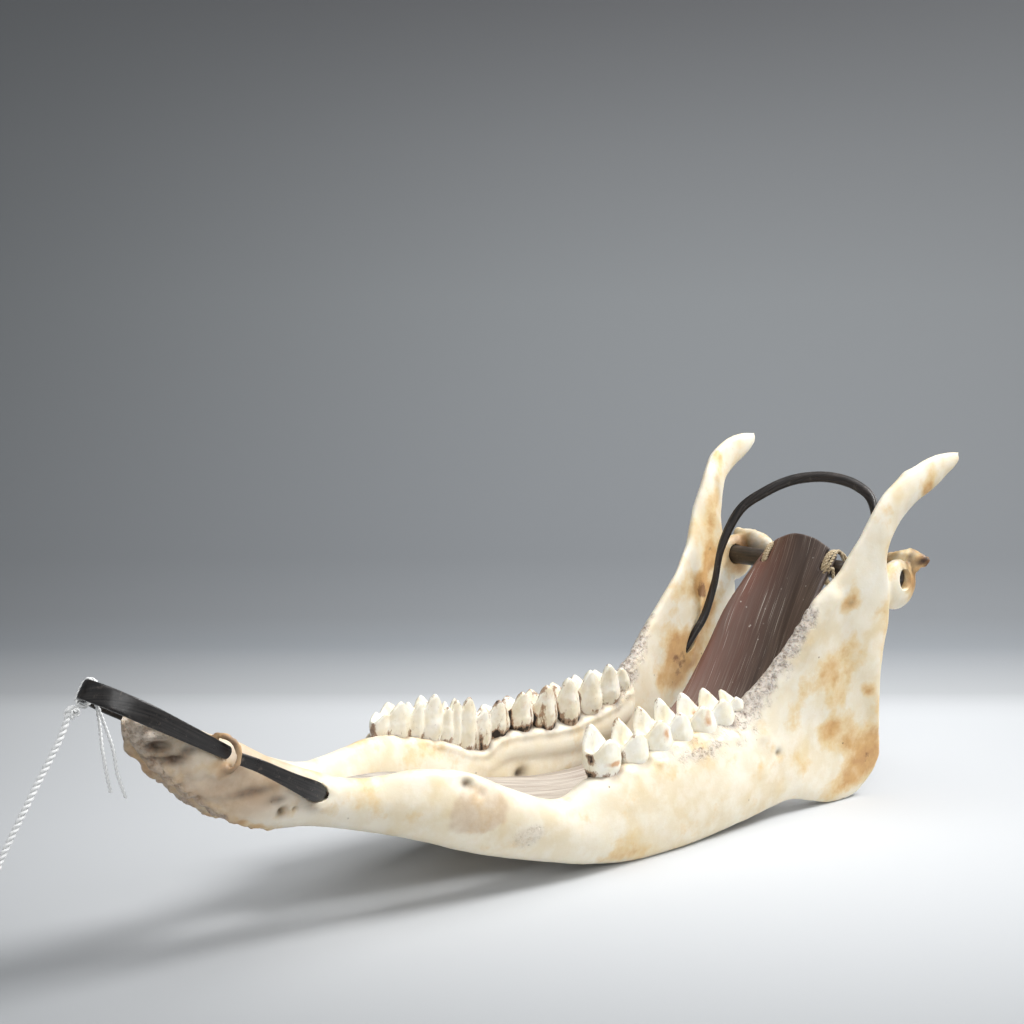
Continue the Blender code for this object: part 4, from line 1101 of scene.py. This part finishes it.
def make_scoop(mat):
    """Thin curved horn plate between the halves, its lip scalloped and its edges worn."""
    fine = 7
    across = 28
    edge, middle = smooth(SCOOP_EDGE, fine), smooth(SCOOP_MIDDLE, fine)
    half = smooth_values(SCOOP_HALF_WIDTH, fine)
    grid = []
    for i, ((ex, ez), (mx, mz), w) in enumerate(zip(edge, middle, half)):
        row = []
        for j in range(across + 1):
            v = 2 * j / across - 1
            wave = 0.25 * noise.noise(Vector((i * 0.05, v * 3, 2)))
            row.append(Vector((mx + (ex - mx) * v * v, w * v, mz + (ez - mz) * v * v + wave)))
        grid.append(row)
    last = len(grid) - 1
    rings = []
    for i, row in enumerate(grid):
        front, back = [], []
        for j, point in enumerate(row):
            ahead = grid[min(i + 1, last)][j] - grid[max(i - 1, 0)][j]
            side_way = row[min(j + 1, across)] - row[max(j - 1, 0)]
            normal = ahead.cross(side_way).normalized()
            front.append(place(point))
            back.append(place(point - normal * SCOOP_THICKNESS))
        rings.append(front + back[::-1])
    sheet = from_rings("horn_scoop", rings, mat)
    hole = (TIE_RADIUS, TIE_HOLE_RADIUS, mat, TIE_HOLE_SPREAD)
    cut(sheet, [ring_round_y("hole", y, *hole) for y in (-TIE_Y, TIE_Y)])
    lay_uv_flat(sheet, middle)
    return sheet


def lay_uv_flat(obj, middle):
    """UV map in metres: length along the scoop's middle line, and distance across it."""
    line, lengths = np.array(middle), walked([Vector(p) for p in middle])
    points = millimetres(obj)[0]
    numbers = [n for n, _ in nearest_of(line, points[:, (0, 2)])]
    set_uv(obj, [((lengths[n] + (p[0] - line[n][0]) * 0.3) * MM, p[1] * MM) for n, p in zip(numbers, points)])


def ring_round_y(name, y, radius, tube_radius, mat, squash=1):
    """Torus round the crossbar."""
    rings = []
    for c, s in circle(48):
        out = Vector((c, 0, s))
        middle = Vector((BAR_AXIS[0], y, BAR_AXIS[1])) + out * radius
        wide = Vector((0, tube_radius * squash, 0))
        rings.append([place(middle + out * (tube_radius * p) + wide * q) for p, q in circle(16)])
    return from_rings(name, rings, mat, closed=True)


def make_crossbar(mat):
    """Dark bar with eased ends and a small blind bore in each."""
    left, right = BAR_ENDS
    eased = ((0, 2.6), (0.25, 3), (0.7, BAR_RADIUS))
    stations = [(left + d, r) for d, r in eased] + [(0, BAR_RADIUS)]
    stations += [(right - d, r) for d, r in eased[::-1]]
    bar = lathe_y("crossbar", BAR_AXIS, stations, mat)
    cut(bar, [lathe_y("bore", BAR_AXIS, ((end - 4, 1.7), (end + 4, 1.7)), mat) for end in BAR_ENDS])
    return bar


def strand_tree(name):
    """Node tree that winds strands round a path and gives each a round skin."""
    tree = bpy.data.node_groups.new(name, "GeometryNodeTree")
    for label, kind, value in (
        ("Path", "Geometry", None), ("Strands", "Int", 2), ("Turns", "Float", 40),
        ("Spread", "Float", 0.3 * MM), ("Strand Radius", "Float", 0.3 * MM), ("Points", "Int", 300),
        ("Material", "Material", None),
    ):
        made = tree.interface.new_socket(label, in_out="INPUT", socket_type="NodeSocket" + kind)
        if value is not None:
            made.default_value = value
    tree.interface.new_socket("Strands", in_out="OUTPUT", socket_type="NodeSocketGeometry")
    given = add(tree, "NodeGroupInput").outputs

    def vector(way, *values, **scale):
        inputs = dict(enumerate(values), **scale)
        return add(tree, "ShaderNodeVectorMath", inputs, operation=way).outputs["Vector"]

    inputs = {"Curve": given["Path"], "Count": given["Points"]}
    fine = add(tree, "GeometryNodeResampleCurve", inputs).outputs["Curve"]
    inputs = {"Geometry": fine, "Amount": given["Strands"]}
    many = add(tree, "GeometryNodeDuplicateElements", inputs, domain="SPLINE").outputs
    turned = calc("MULTIPLY", add(tree, "GeometryNodeSplineParameter").outputs["Factor"], given["Turns"])
    share = calc("DIVIDE", many["Duplicate Index"], given["Strands"])
    angle = calc("MULTIPLY", calc("ADD", turned, share), 2 * math.pi)
    normal = add(tree, "GeometryNodeInputNormal").outputs["Normal"]
    third = vector("CROSS_PRODUCT", add(tree, "GeometryNodeInputTangent").outputs["Tangent"], normal)
    one = vector("SCALE", normal, Scale=calc("COSINE", angle))
    two = vector("SCALE", third, Scale=calc("SINE", angle))
    offset = vector("SCALE", vector("ADD", one, two), Scale=given["Spread"])
    inputs = {"Geometry": many["Geometry"], "Offset": offset}
    wound = add(tree, "GeometryNodeSetPosition", inputs).outputs["Geometry"]
    inputs = {"Resolution": 8, "Radius": given["Strand Radius"]}
    profile = add(tree, "GeometryNodeCurvePrimitiveCircle", inputs, mode="RADIUS").outputs["Curve"]
    inputs = {"Curve": wound, "Profile Curve": profile, "Fill Caps": True}
    skin = add(tree, "GeometryNodeCurveToMesh", inputs).outputs["Mesh"]
    real = add(tree, "GeometryNodeRealizeInstances", {"Geometry": skin}).outputs["Geometry"]
    dressed = add(tree, "GeometryNodeSetMaterial", {"Geometry": real, "Material": given["Material"]})
    add(tree, "NodeGroupOutput", {"Strands": dressed.outputs["Geometry"]})
    return tree


def wind(name, points, tree, mat, turns, spread_mm, radius_mm, count):
    """Winds strands along points in millimetres, as one plain mesh."""
    curve = bpy.data.curves.new(name + "_path", "CURVE")
    curve.dimensions = "3D"
    line = curve.splines.new("POLY")
    line.points.add(len(points) - 1)
    for spot, point in zip(line.points, points):
        spot.co = (*place(point), 1)
    path = new_object(name + "_path", curve)
    step = path.modifiers.new("strands", "NODES")
    step.node_group = tree
    given = {
        "Turns": float(turns), "Spread": spread_mm * MM, "Strand Radius": radius_mm * MM, "Points": count,
        "Material": mat,
    }
    for item in tree.interface.items_tree:
        if item.in_out == "INPUT" and item.name in given:
            step[item.identifier] = given[item.name]
    mesh = made_mesh(path)
    bpy.data.objects.remove(path)
    mesh.name = name
    mesh.shade_smooth()
    return new_object(name, mesh)


def finish_piece(obj, slot, *nodes):
    """Parents a finished piece to the root body and hides the CAD nodes it stands in for."""
    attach(obj, "root")
    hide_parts(*nodes)


class JawSizes(bpy.types.PropertyGroup):
    """Sizes of the jaw's finish"""
    bone_grid: bpy.props.FloatProperty(
        name="Bone grid", description="Grid of the bone's skin in millimetres", default=0.8, min=0.4,
    )
    tooth_grid: bpy.props.FloatProperty(
        name="Tooth grid", description="Grid of the teeth's skin in millimetres", default=0.36, min=0.2,
    )
    thread_turns: bpy.props.FloatProperty(
        name="Thread turns", description="Turns of the twisted thread", default=30, min=1,
    )


class LightSizes(bpy.types.PropertyGroup):
    """Strengths of the studio lights"""
    key: bpy.props.FloatProperty(
        name="Key", description="Power of the light at the right", default=17, min=0, unit="POWER",
    )
    fill: bpy.props.FloatProperty(
        name="Fill", description="Power of the soft light before the part", default=7.6, min=0, unit="POWER",
    )
    top: bpy.props.FloatProperty(
        name="Top", description="Power of the broad light above", default=8.6, min=0, unit="POWER",
    )


class MakeThread(bpy.types.Operator):
    """Make the white thread, its loose ends, its wrap and the plain tag"""
    bl_idname = "jawbone.make_thread"
    bl_label = "Thread and tag"

    def execute(self, context):
        # White cotton: matte, with fine fibres along each strand
        stops = [(0.3, "DCDDDD"), (0.6, "F7F7F5")]
        cotton = fibre_material("white_cotton", 0.25, 3, 0.6, stops, 0.05, 0.9, 0.3)
        tree = strand_tree("Wound strands")
        route, loose_route = smooth(THREAD_ROUTE, ROUTE_STEPS), smooth(LOOSE_ROUTE, ROUTE_STEPS)
        turns = context.scene.jaw_sizes.thread_turns
        thread = wind("twisted_thread", route, tree, cotton, turns, 0.42, 0.46, 900)
        loose = wind("loose_ends", loose_route, tree, cotton, 22, 0.22, 0.26, 500)
        wrap = wind("wound_wrap", self.wrap_points(), tree, cotton, 30, 0.26, 0.28, 900)
        card = self.card()
        for piece, slot, node in (
            (thread, "thread", "tag_thread"), (loose, "thread", "thread_ends"),
            (wrap, "thread", "thread_wrap"), (card, "card", "tag"),
        ):
            finish_piece(piece, slot, node)
        return {"FINISHED"}

    def wrap_points(self):
        """Turns round the front hoop, and then a knot beside it."""
        foot_x, foot_z = FRONT_HOOP_FOOT
        bend_x, bend_long = FRONT_HOOP_BEND
        depth = math.sqrt(1 - (WRAP_Y / FRONT_HOOP_SIDE) ** 2)
        x = bend_x - bend_long * depth
        centre = Vector((x, WRAP_Y, foot_z + (foot_x - x) * FRONT_HOOP_RISE))
        slope = bend_long * WRAP_Y / FRONT_HOOP_SIDE ** 2 / depth
        ahead = Vector((slope, 1, -slope * FRONT_HOOP_RISE)).normalized()
        broad = Vector(HOOP_WIDTH_WAY).normalized()
        broad = (broad - ahead * broad.dot(ahead)).normalized()
        thin = ahead.cross(broad)
        points = []
        for i, (c, s) in enumerate(circle(32) * 3 + [(1, 0)]):
            out = broad * (math.copysign(abs(c) ** 0.7, c) * (FRONT_HOOP_WIDTH / 2 + WRAP_LIFT))
            out += thin * (math.copysign(abs(s) ** 0.7, s) * (FRONT_HOOP_THICKNESS / 2 + WRAP_LIFT))
            points.append(centre + out + ahead * (-0.9 + 1.8 * i / 96))
        for i in range(60):
            a = 2 * math.pi * i / 20
            r = 1.1 + 0.4 * math.sin(2.3 * a)
            turn = Vector((r * math.cos(a), 0.9 * math.sin(0.7 * a), r * math.sin(a) * 0.9))
            points.append(Vector(WRAP_KNOT) + turn)
        return points

    def card(self):
        """Plain tag with clipped corners and a round hole."""
        cx, cy = TAG_CENTRE
        long, wide, thick = TAG_SIZE
        x, y, clip = long / 2, wide / 2, 5
        outline = [(-x, -y), (x - clip, -y), (x, clip - y), (x, y - clip), (x - clip, y), (-x, y)]
        # Buff card: plain matte paper fibres
        mat = fibre_material("buff_card", 0.8, 4, 0.6, [(0.3, "DDD2B8"), (0.7, "EAE2CE")], 0.03, 0.85)
        rings = [[place((cx + p, cy + q, FLOOR_Z + z)) for p, q in outline] for z in (0.05, 0.05 + thick)]
        card = from_rings("plain_tag", rings, mat)
        round_hole = [(cx + x - 3.6 + 1.6 * c, cy + 1.6 * s) for c, s in circle(32)]
        hole = [[place((p, q, FLOOR_Z + z)) for p, q in round_hole] for z in (-1, 2)]
        cut(card, [from_rings("hole", hole, mat)])
        edge = card.modifiers.new("eased edges", "BEVEL")
        edge.width = 0.12 * MM
        edge.segments = 2
        apply_modifiers(card)
        card.data.shade_flat()
        return card


class MakeBone(bpy.types.Operator):
    """Make both halves of the jaw in bone"""
    bl_idname = "jawbone.make_bone"
    bl_label = "Bone"

    def execute(self, context):
        grid = context.scene.jaw_sizes.bone_grid
        mat = bone_material()
        for name, side, node in (("left_bone", -1, "jaw_left"), ("right_bone", 1, "jaw_right")):
            finish_piece(make_bone(name, side, mat, grid), "bone", node)
        return {"FINISHED"}


class MakeTeeth(bpy.types.Operator):
    """Make the cheek teeth of both halves"""
    bl_idname = "jawbone.make_teeth"
    bl_label = "Teeth"

    def execute(self, context):
        grid = context.scene.jaw_sizes.tooth_grid
        mat = enamel_material()
        for name, side, node in (("left_teeth", -1, "jaw_left"), ("right_teeth", 1, "jaw_right")):
            finish_piece(make_teeth(name, side, mat, grid), "bone", node)
        return {"FINISHED"}


class MakeHoops(bpy.types.Operator):
    """Make the front hoop with its tails, the rear hoop and the crossbar"""
    bl_idname = "jawbone.make_hoops"
    bl_label = "Hoops and crossbar"

    def execute(self, context):
        dark = horn_material("black_horn", "100F0F", "37322F", 0.24, 0.44, True, 0.45)
        finish_piece(make_front_hoop(dark), "dark_horn", "front_hoop")
        for word, side in (("left", -1), ("right", 1)):
            tail = strap(word + "_hoop_tail", *tail_shape(side), TAIL_THICKNESS, dark)
            finish_piece(tail, "dark_horn", "hoop_tail_" + word)
        rod = horn_material("brown_black_horn", "0D0B0A", "3A302A", 0.38, 0.55, True, 0.3)
        finish_piece(make_rear_hoop(rod), "dark_horn", "rear_hoop")
        bar = horn_material("crossbar_horn", "15110E", "4A3C30", 0.4, 0.6, False, 0.35)
        finish_piece(make_crossbar(bar), "dark_horn", "cross_bar")
        return {"FINISHED"}


class MakeScoop(bpy.types.Operator):
    """Make the curved horn plate between the halves"""
    bl_idname = "jawbone.make_scoop"
    bl_label = "Scoop"

    def execute(self, context):
        finish_piece(make_scoop(scoop_material()), "brown_horn", "scoop")
        return {"FINISHED"}


class MakeTies(bpy.types.Operator):
    """Make the sinew ties that hold the scoop to the crossbar"""
    bl_idname = "jawbone.make_ties"
    bl_label = "Ties"

    def execute(self, context):
        # Dry sinew: pale brown twisted fibres with dark grime between them
        stops = [(0.3, "7A6248"), (0.5, "C2AE8C"), (0.7, "E6DAC0")]
        mat = fibre_material("dry_sinew", 0.5, 4, 0.7, stops, 0.15, 0.75)
        tree = bpy.data.node_groups["Wound strands"]
        x, z = BAR_AXIS
        for name, y, node in (("left_tie", -TIE_Y, "tie_left"), ("right_tie", TIE_Y, "tie_right")):
            points = []
            for i, (c, s) in enumerate(circle(40) * 3 + [(1, 0)]):
                r = TIE_RADIUS + 0.12 * math.sin(i * 0.7)
                points.append((x + r * c, y - 0.9 + 1.8 * i / 120, z + r * s))
            if y < 0:
                points += smooth([(x + a, y + b, z + c) for a, b, c in TIE_KNOT], 8)
            finish_piece(wind(name, points, tree, mat, 60, 0.26, 0.34, 700), "sinew", node)
        return {"FINISHED"}


class MakeStage(bpy.types.Operator):
    """Set up the pale floor and the lights"""
    bl_idname = "jawbone.make_stage"
    bl_label = "Studio"

    def execute(self, context):
        self.sweep()
        for name, (spot, aim, size) in LIGHTS.items():
            self.area(name + "_light", spot, aim, size, getattr(context.scene.jaw_lights, name))
        world = bpy.data.worlds.new("studio")
        world.use_nodes = True
        feed(world.node_tree.nodes["Background"], {"Color": linear("D2D6DA"), "Strength": 0.55})
        context.scene.world = world
        context.scene.view_settings.view_transform = "Standard"
        return {"FINISHED"}

    def sweep(self):
        """Pale paper floor that curves up behind, with painted shade where it rises and a painted light pool
        round the part.
        """
        mat, shader, spot = new_material("paper_sweep")
        turn = math.radians(-CAMERA_TURN)
        ahead = Vector((-math.sin(turn), math.cos(turn), 0))
        aside = Vector((math.cos(turn), math.sin(turn), 0))
        parts = add(spot.id_data, "ShaderNodeSeparateXYZ", {"Vector": spot}).outputs
        # Painted shade: darker up the sweep, and dark grey outside the painted light pool
        colour = ramp(between(parts["Z"], 0, SWEEP_CURVE), SWEEP_PAINTED_SHADE)
        feed(shader, {
            "Base Color": blend(self.pool(spot, ahead, aside), "505254", colour),
            "Roughness": 0.7, "Specular IOR Level": 0.2,
        })
        profile = [(SWEEP_FRONT, 0), (SWEEP_FLAT, 0)]
        for i in range(1, 41):
            a = math.pi / 2 * i / 40
            profile.append((SWEEP_FLAT + SWEEP_CURVE * math.sin(a), SWEEP_CURVE - SWEEP_CURVE * math.cos(a)))
        profile.append((SWEEP_FLAT + SWEEP_CURVE, SWEEP_TOP))
        sides = (-SWEEP_HALF_WIDTH, SWEEP_HALF_WIDTH)
        vertices = [ahead * d + aside * s + Vector((0, 0, z)) for d, z in profile for s in sides]
        faces = [(2 * i, 2 * i + 1, 2 * i + 3, 2 * i + 2) for i in range(len(profile) - 1)]
        link_mesh("paper_sweep", vertices, faces, mat)

    def pool(self, spot, ahead, aside):
        """Light pool: one under the part, falling off to both sides and towards the camera."""
        squares = []
        for way, start, reach in ((aside, 0.04, 0.33), (ahead, 0.03, 0.24)):
            inputs = {0: spot, 1: way}
            gone = add(spot.id_data, "ShaderNodeVectorMath", inputs, operation="DOT_PRODUCT").outputs["Value"]
            gone = calc("SUBTRACT", gone, start)
            if way is ahead:
                gone = calc("MINIMUM", gone, 0)
            gone = calc("DIVIDE", gone, reach)
            squares.append(calc("MULTIPLY", gone, gone))
        return calc("EXPONENT", calc("MULTIPLY", calc("ADD", *squares), -1))

    def area(self, name, spot, aim, size, power):
        """Round soft light that points at a place."""
        data = bpy.data.lights.new(name, "AREA")
        data.shape = "DISK"
        data.size = size
        data.energy = power
        obj = new_object(name, data)
        obj.location = spot
        obj.rotation_euler = (Vector(aim) - Vector(spot)).to_track_quat("-Z", "Y").to_euler()


class MakeCamera(bpy.types.Operator):
    """Set up the camera"""
    bl_idname = "jawbone.make_camera"
    bl_label = "Camera"

    def execute(self, context):
        data = bpy.data.cameras.new("camera")
        data.sensor_width = CAMERA_SENSOR
        data.lens = CAMERA_LENS
        data.clip_start = 0.01
        obj = new_object("camera", data)
        obj.location = place(CAMERA_PLACE)
        obj.rotation_euler = (math.radians(90 - CAMERA_PITCH), 0, math.radians(-CAMERA_TURN))
        context.scene.camera = obj
        return {"FINISHED"}


class JawbonePanel(bpy.types.Panel):
    """Lists the pieces of the jawbone"""
    bl_idname = "VIEW3D_PT_jawbone"
    bl_label = "Jawbone"
    bl_space_type = "VIEW_3D"
    bl_region_type = "UI"
    bl_category = "Jawbone"

    def draw(self, context):
        for group in (context.scene.jaw_sizes, context.scene.jaw_lights):
            for name in group.__annotations__:
                self.layout.prop(group, name)
        for operator in OPERATORS:
            self.layout.operator(operator.bl_idname)


OPERATORS = (MakeCamera, MakeThread, MakeBone, MakeTeeth, MakeHoops, MakeScoop, MakeTies, MakeStage)
CLASSES = (JawSizes, LightSizes, *OPERATORS, JawbonePanel)


def register():
    for cls in CLASSES:
        bpy.utils.register_class(cls)
    bpy.types.Scene.jaw_sizes = bpy.props.PointerProperty(type=JawSizes)
    bpy.types.Scene.jaw_lights = bpy.props.PointerProperty(type=LightSizes)


def unregister():
    del bpy.types.Scene.jaw_lights
    del bpy.types.Scene.jaw_sizes
    for cls in reversed(CLASSES):
        bpy.utils.unregister_class(cls)


def main():
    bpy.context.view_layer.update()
    register()
    for operator in OPERATORS:
        group, name = operator.bl_idname.split(".")
        getattr(getattr(bpy.ops, group), name)()


if __name__ == "__main__":
    main()
